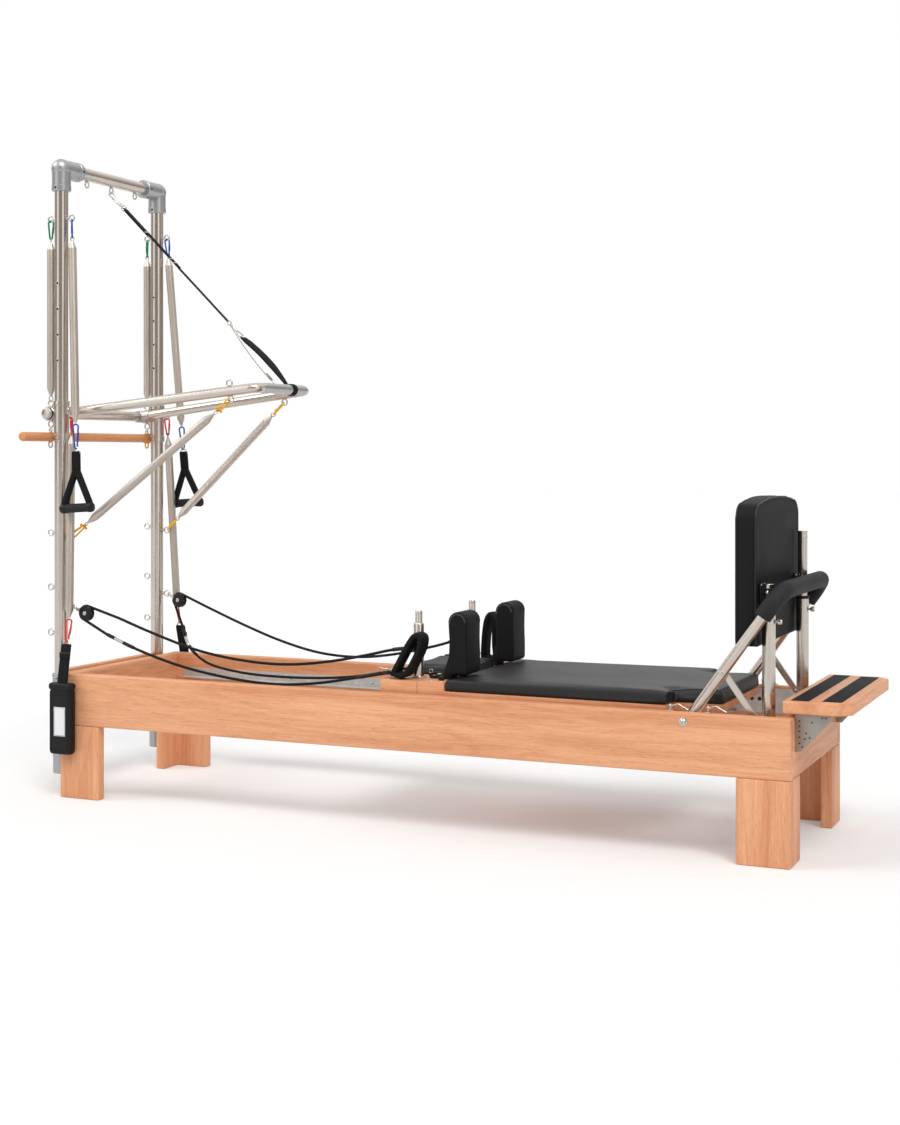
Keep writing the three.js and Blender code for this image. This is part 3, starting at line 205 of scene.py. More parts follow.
class Form:
    """A mesh being modelled, in millimetres."""

    def __init__(self) -> None:
        """Starts with nothing in it."""
        self.bm = bmesh.new()

    def _bevel(self, edges: Iterable, width: float, segments: int) -> None:
        """Rounds edges by a width."""
        bmesh.ops.bevel(self.bm, geom=list(edges), offset=width, offset_type="OFFSET",
                        segments=segments, profile=0.5, affect="EDGES", material=-1,
                        clamp_overlap=True)

    def block(self, low: Point, high: Point, edge: float = 0.0, segments: int = 2,
              place: Matrix = Matrix()) -> "Form":
        """Adds a box with rounded edges.

        Args:
            low: Its lowest corner.
            high: Its highest corner.
            edge: Radius of its edges.
            segments: Faces round each edge.
            place: Frame that the corners are in.

        Returns:
            This form.
        """
        low, high = Vector(low), Vector(high)
        size = Matrix.Diagonal((*(high - low), 1))
        verts = bmesh.ops.create_cube(
            self.bm, size=1, matrix=place @ Matrix.Translation((low + high) / 2) @ size)["verts"]
        if edge:
            self._bevel({e for v in verts for e in v.link_edges}, edge, segments)
        return self

    def rod(self, start: Point, end: Point, radius: float, sides: int = 32,
            edge: float = 0.0) -> "Form":
        """Adds a round bar.

        Args:
            start: Middle of its first end.
            end: Middle of its other end.
            radius: Its radius.
            sides: Faces round it.
            edge: Radius of its rims.

        Returns:
            This form.
        """
        start, end = Vector(start), Vector(end)
        verts = bmesh.ops.create_cone(
            self.bm, cap_ends=True, segments=sides, radius1=radius, radius2=radius,
            depth=(end - start).length, matrix=aimed((start + end) / 2, end - start))["verts"]
        if edge:
            rims = {e for v in verts for e in v.link_edges
                    if any(len(f.verts) == sides for f in e.link_faces)}
            self._bevel(rims, edge, 2)
        return self

    def ball(self, centre: Point, radius: float, sides: int = 28) -> "Form":
        """Adds a ball."""
        bmesh.ops.create_uvsphere(self.bm, u_segments=sides, v_segments=sides // 2,
                                  radius=radius, matrix=Matrix.Translation(centre))
        return self

    def spun(self, profile: Sequence[Point], place: Matrix, sides: int = 40) -> "Form":
        """Adds a turned shape.

        Args:
            profile: Pairs of radius and height along the axis.
            place: Frame whose Z is the axis.
            sides: Faces round it.

        Returns:
            This form.
        """
        verts = [self.bm.verts.new(place @ Vector((r, 0, z))) for r, z in profile]
        edges = [self.bm.edges.new(pair) for pair in zip(verts, verts[1:])]
        bmesh.ops.spin(self.bm, geom=verts + edges, cent=place.translation,
                       axis=place.to_3x3() @ UP, dvec=(0, 0, 0), angle=2 * math.pi,
                       steps=sides, use_merge=True, use_duplicate=False)
        return self

    def ring(self, centre: Point, axis: Vector, radius: float, wire: float,
             sides: int = 28) -> "Form":
        """Adds a wire ring whose hole looks along an axis."""
        place = aimed(centre, axis)
        at = place @ Matrix.Translation((radius, 0, 0)) @ Matrix.Rotation(math.pi / 2, 4, "X")
        verts = bmesh.ops.create_circle(self.bm, cap_ends=False, radius=wire, segments=12,
                                        matrix=at)["verts"]
        edges = list({e for v in verts for e in v.link_edges})
        bmesh.ops.spin(self.bm, geom=verts + edges, cent=Vector(centre), axis=Vector(axis),
                       dvec=(0, 0, 0), angle=2 * math.pi, steps=sides, use_merge=True,
                       use_duplicate=False)
        return self

    def coil(self, start: Point, end: Point, radius: float, wire: float, pitch: float,
             cone: float, neck: float, steps: int = 12) -> "Form":
        """Adds a helical spring whose ends are drawn in to cones.

        Args:
            start: Middle of its first end.
            end: Middle of its other end.
            radius: Outer radius of its turns.
            wire: Radius of its wire.
            pitch: Distance between its turns.
            cone: Length of each cone.
            neck: Outer radius where a cone ends.
            steps: Pieces of each turn.

        Returns:
            This form.
        """
        start, end = Vector(start), Vector(end)
        length = (end - start).length - 2 * wire
        turns = max(1, round(length / pitch))
        pitch = length / turns
        middle = radius - wire
        at = Matrix.Translation((middle, 0, wire)) @ Matrix.Rotation(math.pi / 2, 4, "X")
        turn = bmesh.new()
        verts = bmesh.ops.create_circle(turn, cap_ends=False, radius=wire, segments=6,
                                        matrix=at)["verts"]
        bmesh.ops.spin(turn, geom=verts + list(turn.edges), cent=(0, 0, 0), axis=(0, 0, 1),
                       dvec=(0, 0, pitch / steps), angle=2 * math.pi, steps=steps,
                       use_merge=False, use_duplicate=False)
        known = len(self.bm.verts)
        self._repeat(turn, turns, (0, 0, pitch))
        self.bm.verts.index_update()
        fresh = self.bm.verts[known:]
        ends = {e for v in fresh for e in v.link_edges if e.is_boundary}
        bmesh.ops.holes_fill(self.bm, edges=list(ends), sides=0)
        place = aimed(start, end - start)
        total = length + 2 * wire
        for v in fresh:
            near = min(v.co.z, total - v.co.z)
            share = min(1.0, max(0.0, near / cone))
            wanted = neck + (radius - neck) * share - wire
            flat = Vector((v.co.x, v.co.y, 0))
            flat = flat.normalized() * max(flat.length - middle + wanted, 0.2)
            v.co = place @ Vector((flat.x, flat.y, v.co.z))
        return self

    def _repeat(self, unit: bmesh.types.BMesh, count: int, shift: Point) -> None:
        """Adds a unit many times in a row, joined where its copies meet, and frees it."""
        mesh = bpy.data.meshes.new("unit")
        unit.to_mesh(mesh)
        unit.free()
        made = bpy.data.objects.new("unit", mesh)
        bpy.context.scene.collection.objects.link(made)
        array = made.modifiers.new("row", "ARRAY")
        array.count = count
        array.use_relative_offset = False
        array.use_constant_offset = True
        array.constant_offset_displace = shift
        array.use_merge_vertices = True
        array.merge_threshold = 0.01
        graph = bpy.context.evaluated_depsgraph_get()
        row = bpy.data.meshes.new_from_object(made.evaluated_get(graph))
        self.bm.from_mesh(row)
        bpy.data.objects.remove(made)
        bpy.data.meshes.remove(mesh)
        bpy.data.meshes.remove(row)

    def sweep(self, path: Sequence[Vector], section: Section, closed: bool = False,
              side: Vector | None = None,
              sizes: Callable[[float], float | tuple[float, float]] | None = None,
              mapped: bool = False) -> "Form":
        """Draws a section along a path.

        Args:
            path: Points that the middle of the section follows.
            section: The section.
            closed: Whether the path joins its own start.
            side: The way the section's width looks at the start.
            sizes: Scale of the section at a share of the path, or of its width and depth.
            mapped: Whether the faces get a map of length and girth in metres.

        Returns:
            This form.
        """
        path = [Vector(p) for p in path]
        count = len(path)
        frames: list[Matrix] = []
        normal, before = side, None
        for i, here in enumerate(path):
            ahead = path[(i + 1) % count] if closed or i < count - 1 else here
            behind = path[i - 1] if closed or i > 0 else here
            tangent = (ahead - behind).normalized()
            if before is not None:
                normal = before.rotation_difference(tangent) @ normal
            frames.append(aimed(here, tangent, normal))
            normal, before = frames[-1].to_3x3() @ ALONG, tangent
        made = bmesh.ops.create_circle(self.bm, cap_ends=False, radius=1,
                                       segments=section.sides)["verts"]
        rings = [made]
        edges = list({e for v in made for e in v.link_edges})
        for v in made:
            c, s = v.co.x, v.co.y
            v.co.x = math.copysign(abs(c) ** section.square, c) * section.width / 2
            v.co.y = math.copysign(abs(s) ** section.square, s) * section.depth / 2
        base = [v.co.copy() for v in made]
        first_edges = list(edges)
        for i in range(1, count):
            out = bmesh.ops.extrude_edge_only(self.bm, edges=edges)["geom"]
            fresh = [g for g in out if isinstance(g, bmesh.types.BMVert)]
            known = set(fresh)
            edges = [g for g in out if isinstance(g, bmesh.types.BMEdge)
                     and g.verts[0] in known and g.verts[1] in known]
            partner = {}
            for v in rings[-1]:
                partner[v] = next(o for e in v.link_edges if (o := e.other_vert(v)) in known)
            rings.append([partner[v] for v in rings[-1]])
        for i, (ring, place) in enumerate(zip(rings, frames)):
            size = sizes(i / (count - 1)) if sizes else 1.0
            wide, deep = size if isinstance(size, tuple) else (size, size)
            for v, co in zip(ring, base):
                v.co = place @ Vector((co.x * wide, co.y * deep, 0))
        if closed:
            bmesh.ops.bridge_loops(self.bm, edges=first_edges + edges)
        else:
            for loop in (first_edges, edges):
                bmesh.ops.contextual_create(self.bm, geom=loop)
        if mapped:
            self._map(rings, path)
        return self

    def _map(self, rings: list[list], path: Sequence[Vector]) -> None:
        """Gives swept faces a map: girth share across, length in metres along."""
        layer = self.bm.loops.layers.uv.verify()
        reach = [0.0]
        for a, b in zip(path, path[1:]):
            reach.append(reach[-1] + (b - a).length * METRE)
        count = len(rings[0])
        spot = {v: (k / count, reach[i]) for i, ring in enumerate(rings)
                for k, v in enumerate(ring)}
        for ring in rings:
            for face in {f for v in ring for f in v.link_faces}:
                if len(face.verts) != 4:
                    continue
                ends = [spot.get(loop.vert, (0, 0))[0] for loop in face.loops]
                wraps = max(ends) - min(ends) > 0.5
                for loop in face.loops:
                    u, v = spot.get(loop.vert, (0, 0))
                    loop[layer].uv = (u + 1 if wraps and u < 0.5 else u, v)

    def plate(self, outline: Sequence[Point], low: float, high: float, axis: Axis,
              edge: float = 0.0, segments: int = 2) -> "Form":
        """Adds a flat piece cut to an outline.

        Args:
            outline: Its corners, as the other two directions in their order.
            low: Where it starts along the axis.
            high: Where it ends.
            axis: The direction that it is thick in.
            edge: Radius of its edges.
            segments: Faces round each edge.

        Returns:
            This form.
        """
        verts = []
        for pair in outline:
            spot = list(pair)
            spot.insert(axis.value, low)
            verts.append(self.bm.verts.new(spot))
        face = self.bm.faces.new(verts)
        out = bmesh.ops.extrude_face_region(self.bm, geom=[face])["geom"]
        top = [g for g in out if isinstance(g, bmesh.types.BMVert)]
        shift = [0.0, 0.0, 0.0]
        shift[axis.value] = high - low
        bmesh.ops.translate(self.bm, vec=shift, verts=top)
        if edge:
            self._bevel({e for v in verts + top for e in v.link_edges
                         if e.calc_face_angle(0) > math.radians(25)}, edge, segments)
        return self

    def screw(self, place: Point, axis: Point, radius: float, height: float = 3.0) -> "Form":
        """Adds a domed screw head with a socket, standing on a face that looks along an axis."""
        r = radius
        return self.spun([(0, height * 0.35), (r * 0.42, height * 0.35), (r * 0.46, height),
                          (r * 0.62, height), (r * 0.9, height * 0.62), (r, 0), (r, -0.6),
                          (0, -0.6)], aimed(place, Vector(axis)), 20)

    def copied(self, node: str, edge: float = 0.0, segments: int = 2) -> "Form":
        """Takes a copy of a solid of the frame, welds it and rounds its sharp edges.

        Args:
            node: Name of the solid.
            edge: Radius of its edges.
            segments: Faces round each edge.

        Returns:
            This form.
        """
        self.bm.from_mesh(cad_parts[node].data)
        bmesh.ops.scale(self.bm, vec=(1000, 1000, 1000), verts=self.bm.verts)
        bmesh.ops.translate(self.bm, vec=-ORIGIN, verts=self.bm.verts)
        bmesh.ops.remove_doubles(self.bm, verts=self.bm.verts, dist=0.02)
        bmesh.ops.dissolve_limit(self.bm, angle_limit=math.radians(2), verts=self.bm.verts,
                                 edges=self.bm.edges, use_dissolve_boundaries=False)
        if edge:
            self._bevel([e for e in self.bm.edges
                         if e.calc_face_angle(0) > math.radians(25)], edge, segments)
        return self

    def bare(self, name: str, sharp: float = 32.0) -> bpy.types.Object:
        """Makes the object of this form, in metres, with no material.

        Args:
            name: Name of the piece.
            sharp: Angle in degrees past which an edge stays sharp.

        Returns:
            The object.
        """
        bm = self.bm
        bmesh.ops.remove_doubles(bm, verts=bm.verts, dist=0.002)
        bmesh.ops.recalc_face_normals(bm, faces=bm.faces)
        bmesh.ops.translate(bm, vec=ORIGIN, verts=bm.verts)
        bmesh.ops.scale(bm, vec=(METRE,) * 3, verts=bm.verts)
        for face in bm.faces:
            face.smooth = True
        for edge in bm.edges:
            edge.smooth = edge.calc_face_angle(0) < math.radians(sharp)
        mesh = bpy.data.meshes.new(name)
        bm.to_mesh(mesh)
        bm.free()
        made = bpy.data.objects.new(name, mesh)
        bpy.context.scene.collection.objects.link(made)
        return made


@dataclass
class Fitting:
    """Where a finished piece belongs.

    Attributes:
        body: Body of the frame that it rides on, or two bodies that it joins.
        slot: Material slot of the record. Not used.
        replaces: Solids that it stands for.
        span: For a piece that joins two bodies, where it leaves the first and meets the second.
    """

    body: str | tuple[str, str]
    slot: str | None = None
    replaces: tuple[str, ...] = ()
    span: tuple[Point, Point] | None = None

    def put(self, form: Form, name: str, finish: str) -> bpy.types.Object:
        """Makes a form's piece and gives it its finish and its place."""
        return self.take(form.bare(name), finish)

    def take(self, made: bpy.types.Object, finish: str) -> bpy.types.Object:
        """Gives a piece its finish and its place in the frame, and reports it."""
        made.data.materials.clear()
        made.data.materials.append(FINISHES[finish])
        if isinstance(self.body, str):
            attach(made, self.body)
        else:
            start, end = ((Vector(p) + ORIGIN) * METRE for p in self.span)
            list(self.body)
            tuple(start)
            tuple(end)
            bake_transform(made)
        if self.replaces:
            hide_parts(*self.replaces)
        LOG.info("%s: %d faces", made.name, len(made.data.polygons))
        return made


def linear(rgb: Sequence[int], share: float = 1.0) -> tuple[float, float, float, float]:
    """Turns a share of a display colour of 0 to 255 into the shader's colour."""
    parts = [c * share / 255 for c in rgb]
    return (*(c / 12.92 if c <= 0.04045 else ((c + 0.055) / 1.055) ** 2.4 for c in parts), 1.0)


class Wire:
    """A shader socket whose arithmetic adds Math nodes."""

    def __init__(self, recipe: "Recipe", socket: bpy.types.NodeSocket) -> None:
        """Wraps a socket of a recipe."""
        self.recipe, self.socket = recipe, socket

    def _math(self, operation: str, a: "Wire | float", b: "Wire | float" = 0.0) -> "Wire":
        """Adds one Math node."""
        return self.recipe.node("ShaderNodeMath", {"operation": operation}, {0: a, 1: b})

    def __add__(self, other: "Wire | float") -> "Wire":
        """Sum."""
        return self._math("ADD", self, other)

    __radd__ = __add__

    def __sub__(self, other: "Wire | float") -> "Wire":
        """Difference."""
        return self._math("SUBTRACT", self, other)

    def __rsub__(self, other: "Wire | float") -> "Wire":
        """Difference from a number."""
        return self._math("SUBTRACT", other, self)

    def __mul__(self, other: "Wire | float") -> "Wire":
        """Product."""
        return self._math("MULTIPLY", self, other)

    __rmul__ = __mul__

    def __pow__(self, other: "Wire | float") -> "Wire":
        """Power."""
        return self._math("POWER", self, other)

    def above(self, edge: float, width: float) -> "Wire":
        """Soft step from 0 to 1 round an edge."""
        return self.recipe.node(
            "ShaderNodeMapRange", {"interpolation_type": "SMOOTHSTEP"},
            {"Value": self, "From Min": edge - width, "From Max": edge + width})

    def wave(self) -> "Wire":
        """Sine of the value, brought to 0 to 1."""
        return self._math("SINE", self) * 0.5 + 0.5


class Recipe:
    """Node tree of one finish, round one principled shader."""

    def __init__(self, name: str, tree: bpy.types.NodeTree | None = None) -> None:
        """Starts a material with a bare shader, or works on a given tree."""
        self.tree = tree
        if tree is None:
            self.material = bpy.data.materials.new(name)
            self.material.use_nodes = True
            self.tree = self.material.node_tree
            self.shader = next(n for n in self.tree.nodes if n.type == "BSDF_PRINCIPLED")

    def node(self, kind: str, settings: dict | None = None, inputs: dict | None = None,
             output: int | str | None = 0) -> Wire:
        """Adds any node.

        Args:
            kind: The node's type.
            settings: Its properties.
            inputs: Values or wires of its sockets, by name or number.
            output: The output to hand back, or none for a node that has none.

        Returns:
            That output.
        """
        made = self.tree.nodes.new(kind)
        for key, value in (settings or {}).items():
            setattr(made, key, value)
        for key, value in (inputs or {}).items():
            self.feed(made.inputs[key], value)
        return Wire(self, made.outputs[output] if output is not None else None)

    def feed(self, socket: bpy.types.NodeSocket, value: "Wire | float | Sequence") -> None:
        """Links a wire to a socket, or sets its value."""
        if isinstance(value, Wire):
            self.tree.links.new(value.socket, socket)
        else:
            socket.default_value = value

    def object_space(self, scale: Point = (1, 1, 1), shift: Point = (0, 0, 0)) -> Wire:
        """Object coordinates in metres, scaled and shifted."""
        coordinates = self.node("ShaderNodeTexCoord", output="Object")
        return self.node("ShaderNodeMapping", {}, {
            "Vector": coordinates, "Location": shift, "Scale": scale})

    def map_space(self, across: float, along: float) -> tuple[Wire, Wire]:
        """The two directions of a swept piece's own map, scaled."""
        coordinates = self.node("ShaderNodeTexCoord", output="UV")
        space = self.node("ShaderNodeMapping", {}, {
            "Vector": coordinates, "Scale": (across, along, 1.0)})
        girth = self.node("ShaderNodeSeparateXYZ", {}, {0: space})
        return girth, Wire(self, girth.socket.node.outputs[1])

    def noise(self, space: Wire, scale: float, detail: float = 3.0, roughness: float = 0.55,
              distortion: float = 0.0) -> Wire:
        """Noise of 0 to 1."""
        return self.node("ShaderNodeTexNoise", {}, {
            "Vector": space, "Scale": scale, "Detail": detail, "Roughness": roughness,
            "Distortion": distortion})

    def cells(self, space: Wire, scale: float, feature: str = "F1") -> Wire:
        """Distance to the nearest of scattered points, or to the edge between them."""
        return self.node("ShaderNodeTexVoronoi", {"feature": feature},
                         {"Vector": space, "Scale": scale})

    def blend(self, share: "Wire | float", first: "Wire | Sequence",
              second: "Wire | Sequence", kind: str = "MIX") -> Wire:
        """Colour between two others."""
        return self.node("ShaderNodeMix", {"data_type": "RGBA", "blend_type": kind},
                         {0: share, 6: first, 7: second}, output=2)

    def relief(self, height: Wire, depth: float, strength: float) -> Wire:
        """Bump from a height of 0 to 1 over a depth in metres."""
        return self.node("ShaderNodeBump", {}, {
            "Height": height, "Distance": depth, "Strength": strength})

    def done(self, **sockets: "Wire | float | Sequence") -> bpy.types.Material:
        """Feeds the shader's sockets, named with underscores, and gives the material."""
        for key, value in sockets.items():
            self.feed(self.shader.inputs[key.replace("_", " ").title()
                                         .replace("Ior", "IOR")], value)
        return self.material


@dataclass(frozen=True)
class Timber:
    """Oiled solid wood.

    Attributes:
        name: Name of the finish.
        grain: The way that the fibres run.
        pale: Display colour of the pale wood.
        deep: Display colour of the darker growth.
        shift: Place in the tree that the board was cut from.
    """

    name: str
    grain: Axis
    pale: tuple[int, int, int] = (243, 180, 136)
    deep: tuple[int, int, int] = (206, 133, 88)
    shift: float = 0.0

    def make(self) -> bpy.types.Material:
        """Makes the finish."""
        r = Recipe(self.name)

        def drawn_out(along: float, across: float) -> Wire:
            """Space that is drawn out along the fibres."""
            scale = [across] * 3
            scale[self.grain.value] = along
            return r.object_space(scale, (self.shift, self.shift * 0.7, self.shift * 0.4))

        growth = r.noise(drawn_out(0.55, 7.0), 2.2, 3.0, 0.5, 0.7)
        rings = (growth * 46.0).wave()
        lanes = r.noise(drawn_out(0.7, 11.0), 1.6, 2.0, 0.5)
        fibres = r.noise(drawn_out(3.0, 150.0), 2.6, 4.0, 0.65)
        pores = r.noise(drawn_out(16.0, 420.0), 2.4, 2.0, 0.5).above(0.63, 0.05)
        knot = r.cells(r.object_space((1.0, 1.7, 2.3), (self.shift, 0.31, 0.17)), 2.3)
        knots = 1.0 - knot.above(0.035, 0.02)
        share = rings * 0.22 + lanes.above(0.52, 0.16) * 0.42 + fibres.above(0.5, 0.2) * 0.36
        colour = r.blend(share, linear(self.pale), linear(self.deep))
        colour = r.blend(pores * 0.34, colour, linear(self.deep, 0.62))
        colour = r.blend(knots * 0.5, colour, linear((120, 66, 38)))
        height = fibres * 0.6 - pores * 0.5 + rings * 0.1
        return r.done(base_color=colour, roughness=0.42 + fibres * 0.16 + pores * 0.14,
                      normal=r.relief(height, 0.0006, 0.22), coat_weight=0.08,
                      coat_roughness=0.32)


@dataclass(frozen=True)
class Metal:
    """Bare metal.

    Attributes:
        name: Name of the finish.
        colour: Display colour.
        rough: Roughness.
        brushed: The way that its brush lines run, or none for a cast skin.
        grain: Scale of its lines or of its skin.
        depth: Depth of its relief in metres.
    """

    name: str
    colour: tuple[int, int, int]
    rough: float
    brushed: Axis | None = None
    grain: float = 60.0
    depth: float = 0.00004

    def make(self) -> bpy.types.Material:
        """Makes the finish."""
        r = Recipe(self.name)
        if self.brushed is None:
            scale = [self.grain * 6] * 3
        else:
            scale = [self.grain * 8] * 3
            scale[self.brushed.value] = self.grain * 0.15
        lines = r.noise(r.object_space(scale), 1.0, 3.0, 0.6)
        clouds = r.noise(r.object_space(), 9.0, 3.0, 0.55)
        dark = linear(self.colour, 0.8)
        colour = r.blend(clouds * 0.5 + lines * 0.35, linear(self.colour), dark)
        rough = self.rough - 0.06 + lines * 0.1 + clouds * 0.06
        return r.done(base_color=colour, metallic=1.0, roughness=rough,
                      normal=r.relief(lines, self.depth, 0.5))


@dataclass(frozen=True)
class Paint:
    """Coloured anodising or plastic.

    Attributes:
        name: Name of the finish.
        colour: Display colour.
        rough: Roughness.
        metal: How metallic it is.
        grain: Scale of its skin.
        depth: Depth of its relief in metres.
        gloss: Level of its mirror part.
    """

    name: str
    colour: tuple[int, int, int]
    rough: float = 0.35
    metal: float = 0.0
    grain: float = 500.0
    depth: float = 0.00004
    gloss: float = 0.5

    def make(self) -> bpy.types.Material:
        """Makes the finish."""
        r = Recipe(self.name)
        skin = r.noise(r.object_space(), self.grain, 3.0, 0.6)
        wear = r.noise(r.object_space(), 45.0, 4.0, 0.6).above(0.6, 0.14)
        colour = r.blend(wear * 0.3 + skin * 0.12, linear(self.colour),
                         linear([min(255, c * 1.18 + 14) for c in self.colour]))
        return r.done(base_color=colour, metallic=self.metal, specular_ior_level=self.gloss,
                      roughness=self.rough + skin * 0.08 + wear * 0.07,
                      normal=r.relief(skin, self.depth, 0.4))


@dataclass(frozen=True)
class Leathercloth:
    """Black upholstery vinyl with a fine leather grain, and painted shade in the creases of its
    grain.
    """

    name: str = "upholstery_vinyl"
    colour: tuple[int, int, int] = (29, 30, 32)
    rough: float = 0.36
    gloss: float = 0.42

    def make(self) -> bpy.types.Material:
        """Makes the finish."""
        r = Recipe(self.name)
        space = r.object_space()
        pebbles = r.cells(space, 620.0, "F1")
        creases = r.cells(space, 620.0, "DISTANCE_TO_EDGE").above(0.06, 0.06)
        broad = r.noise(space, 6.0, 4.0, 0.55)
        fine = r.noise(space, 900.0, 2.0, 0.5)
        colour = r.blend(broad * 0.45 + fine * 0.2, linear(self.colour),
                         linear(self.colour, 0.7))
        # painted shade: the creases between the grain's pebbles are darkened towards near black
        colour = r.blend((1.0 - creases) * 0.3, colour, linear((14, 14, 15)))
        height = creases * 0.7 - pebbles * 0.3 + fine * 0.12
        return r.done(base_color=colour, roughness=self.rough + broad * 0.12 + fine * 0.05,
                      specular_ior_level=self.gloss, normal=r.relief(height, 0.00022, 0.35))


@dataclass(frozen=True)
class Foam:
    """Closed-cell foam of the footbar's grip, with painted shade in its cells."""

    name: str = "grip_foam"

    def make(self) -> bpy.types.Material:
        """Makes the finish."""
        r = Recipe(self.name)
        space = r.object_space()
        holes = r.cells(space, 850.0)
        soft = r.noise(space, 14.0, 4.0, 0.6)
        colour = r.blend(soft * 0.6, linear((37, 38, 40)), linear((27, 28, 30)))
        # painted shade: the foam's cells are darkened nearly to black
        colour = r.blend(1.0 - holes.above(0.28, 0.12), colour, linear((17, 17, 18)))
        return r.done(base_color=colour, roughness=0.62 + soft * 0.12, specular_ior_level=0.3,
                      normal=r.relief(holes.above(0.3, 0.2) + soft * 0.3, 0.00028, 0.35))


@dataclass(frozen=True)
class Webbing:
    """Woven strap, with ribs across its length, and painted light and shade on its weave."""

    name: str = "strap_webbing"
    colour: tuple[int, int, int] = (17, 17, 18)
    rib: float = 1.9

    def make(self) -> bpy.types.Material:
        """Makes the finish."""
        r = Recipe(self.name)
        across, along = r.map_space(14.0 * math.pi * 2, 1000.0 / self.rib * math.pi)
        weave = across.wave() * along.wave() + (across + math.pi).wave() * (
            along + math.pi).wave()
        fuzz = r.noise(r.object_space(), 1500.0, 2.0, 0.6)
        # painted light and shade: the weave's raised threads are lightened and the gaps between
        # them darkened
        colour = r.blend(weave * 0.5 + fuzz * 0.3, linear(self.colour, 0.6),
                         linear(self.colour, 1.7))
        return r.done(base_color=colour, roughness=0.74 + fuzz * 0.12, specular_ior_level=0.2,
                      normal=r.relief(weave + fuzz * 0.3, 0.0005, 0.5))


@dataclass(frozen=True)
class Braid:
    """Braided sheath of a rope, two ways round its length, with painted shade between its strands
    and painted highlights on them.
    """

    name: str = "rope_braid"
    picks: float = 4.0
    lay: float = 5.5

    def make(self) -> bpy.types.Material:
        """Makes the finish."""
        r = Recipe(self.name)
        round_it, along = r.map_space(self.picks * math.pi * 2,
                                      1000.0 / self.lay * math.pi)
        strands = ((round_it + along).wave() ** 0.7) * ((round_it - along).wave() ** 0.7)
        fuzz = r.noise(r.object_space(), 1800.0, 2.0, 0.6)
        # painted light and shade: the strands' crests are lightened and the gaps between them
        # darkened
        colour = r.blend(strands * 0.8 + fuzz * 0.2, linear((8, 8, 9)),
                         linear((33, 33, 35)))
        return r.done(base_color=colour, roughness=0.62 + fuzz * 0.15, specular_ior_level=0.25,
                      normal=r.relief(strands + fuzz * 0.2, 0.0007, 0.6))


@dataclass(frozen=True)
class GripTape:
    """Ribbed black rubber."""

    name: str = "grip_rubber"

    def make(self) -> bpy.types.Material:
        """Makes the finish."""
        r = Recipe(self.name)
        grit = r.cells(r.object_space(), 760.0)
        broad = r.noise(r.object_space(), 20.0, 3.0, 0.5)
        colour = r.blend(grit * 0.7 + broad * 0.2, linear((38, 39, 42)), linear((24, 25, 27)))
        return r.done(base_color=colour, roughness=0.72 + broad * 0.1, specular_ior_level=0.25,
                      normal=r.relief(grit, 0.0004, 0.5))


class Finishes:
    """The finishes of this object, each made once."""

    RECIPES = {
        "wood_x": Timber("beech_along", Axis.X),
        "wood_x2": Timber("beech_along_far", Axis.X, shift=1.7),
        "wood_y": Timber("beech_across", Axis.Y, shift=0.6),
        "wood_y2": Timber("beech_plate", Axis.Y, shift=2.4),
        "wood_z": Timber("beech_upright", Axis.Z, shift=1.1),
        "wood_z2": Timber("beech_upright_far", Axis.Z, shift=3.1),
        "deck_wood": Timber("beech_deck", Axis.X, shift=2.9),
        "dowel": Timber("dowel_wood", Axis.Y, (231, 165, 112), (201, 128, 76), 0.4),
        "tube_z": Metal("steel_tube_upright", (226, 216, 206), 0.2, Axis.Z, 90.0),
        "tube_y": Metal("steel_tube_across", (226, 216, 206), 0.2, Axis.Y, 90.0),
        "tube_x": Metal("steel_tube_along", (226, 216, 206), 0.2, Axis.X, 90.0),
        "sleeve": Metal("satin_sleeve", (206, 205, 204), 0.36, Axis.Y, 90.0),
        "chrome": Metal("bright_steel", (220, 215, 210), 0.18, None, 60.0, 0.00001),
        "spring": Metal("spring_wire", (243, 235, 226), 0.36, None, 80.0, 0.00002),
        "cast": Metal("cast_zinc", (196, 198, 200), 0.36, None, 70.0, 0.00012),
        "aluminium": Paint("anodised_aluminium", (196, 196, 194), 0.42, 0.55, 300.0, 0.00005),
        "bracket": Metal("painted_bracket", (186, 183, 178), 0.5, None, 90.0, 0.0001),
        "green": Paint("green_anodising", (0, 128, 86), 0.3, 0.45),
        "blue": Paint("blue_anodising", (18, 78, 170), 0.3, 0.45),
        "red": Paint("red_anodising", (213, 42, 42), 0.3, 0.35),
        "yellow": Paint("yellow_anodising", (240, 172, 24), 0.34, 0.3),
        "plastic": Paint("black_plastic", (17, 17, 18), 0.4, 0.0, 700.0, 0.00012, 0.35),
        # painted shade: dark discs in place of the shade inside bores, holes and screw sockets;
        # the platform's dark joint line uses the same finish
        "hole": Paint("painted_bore_shade_and_dark_joint", (14, 13, 12), 0.7),
        "thread": Paint("grey_thread", (116, 118, 121), 0.75, 0.0, 1600.0, 0.0002),
        "patch": Webbing("blank_patch", (190, 191, 193), 1.2),
        "vinyl": Leathercloth(),
        # painted shade: a darker copy of the upholstery vinyl, so that the jump board and the
        # shoulder rests come out darker than the mat; it is also rougher and less glossy
        "board_vinyl_with_painted_shade": Leathercloth("board_vinyl_with_painted_shade", (24, 25, 26), 0.5, 0.14),
        "padding": Leathercloth("cuff_vinyl", (15, 15, 16), 0.42, 0.3),
        "foam": Foam(),
        "webbing": Webbing(),
        "braid": Braid(),
        "rubber": GripTape(),
    }

    def __init__(self) -> None:
        """Starts with no finish made."""
        self.made: dict[str, bpy.types.Material] = {}

    def __getitem__(self, name: str) -> bpy.types.Material:
        """Gives a finish by its short name."""
        if name not in self.made:
            self.made[name] = self.RECIPES[name].make()
        return self.made[name]


FINISHES = Finishes()


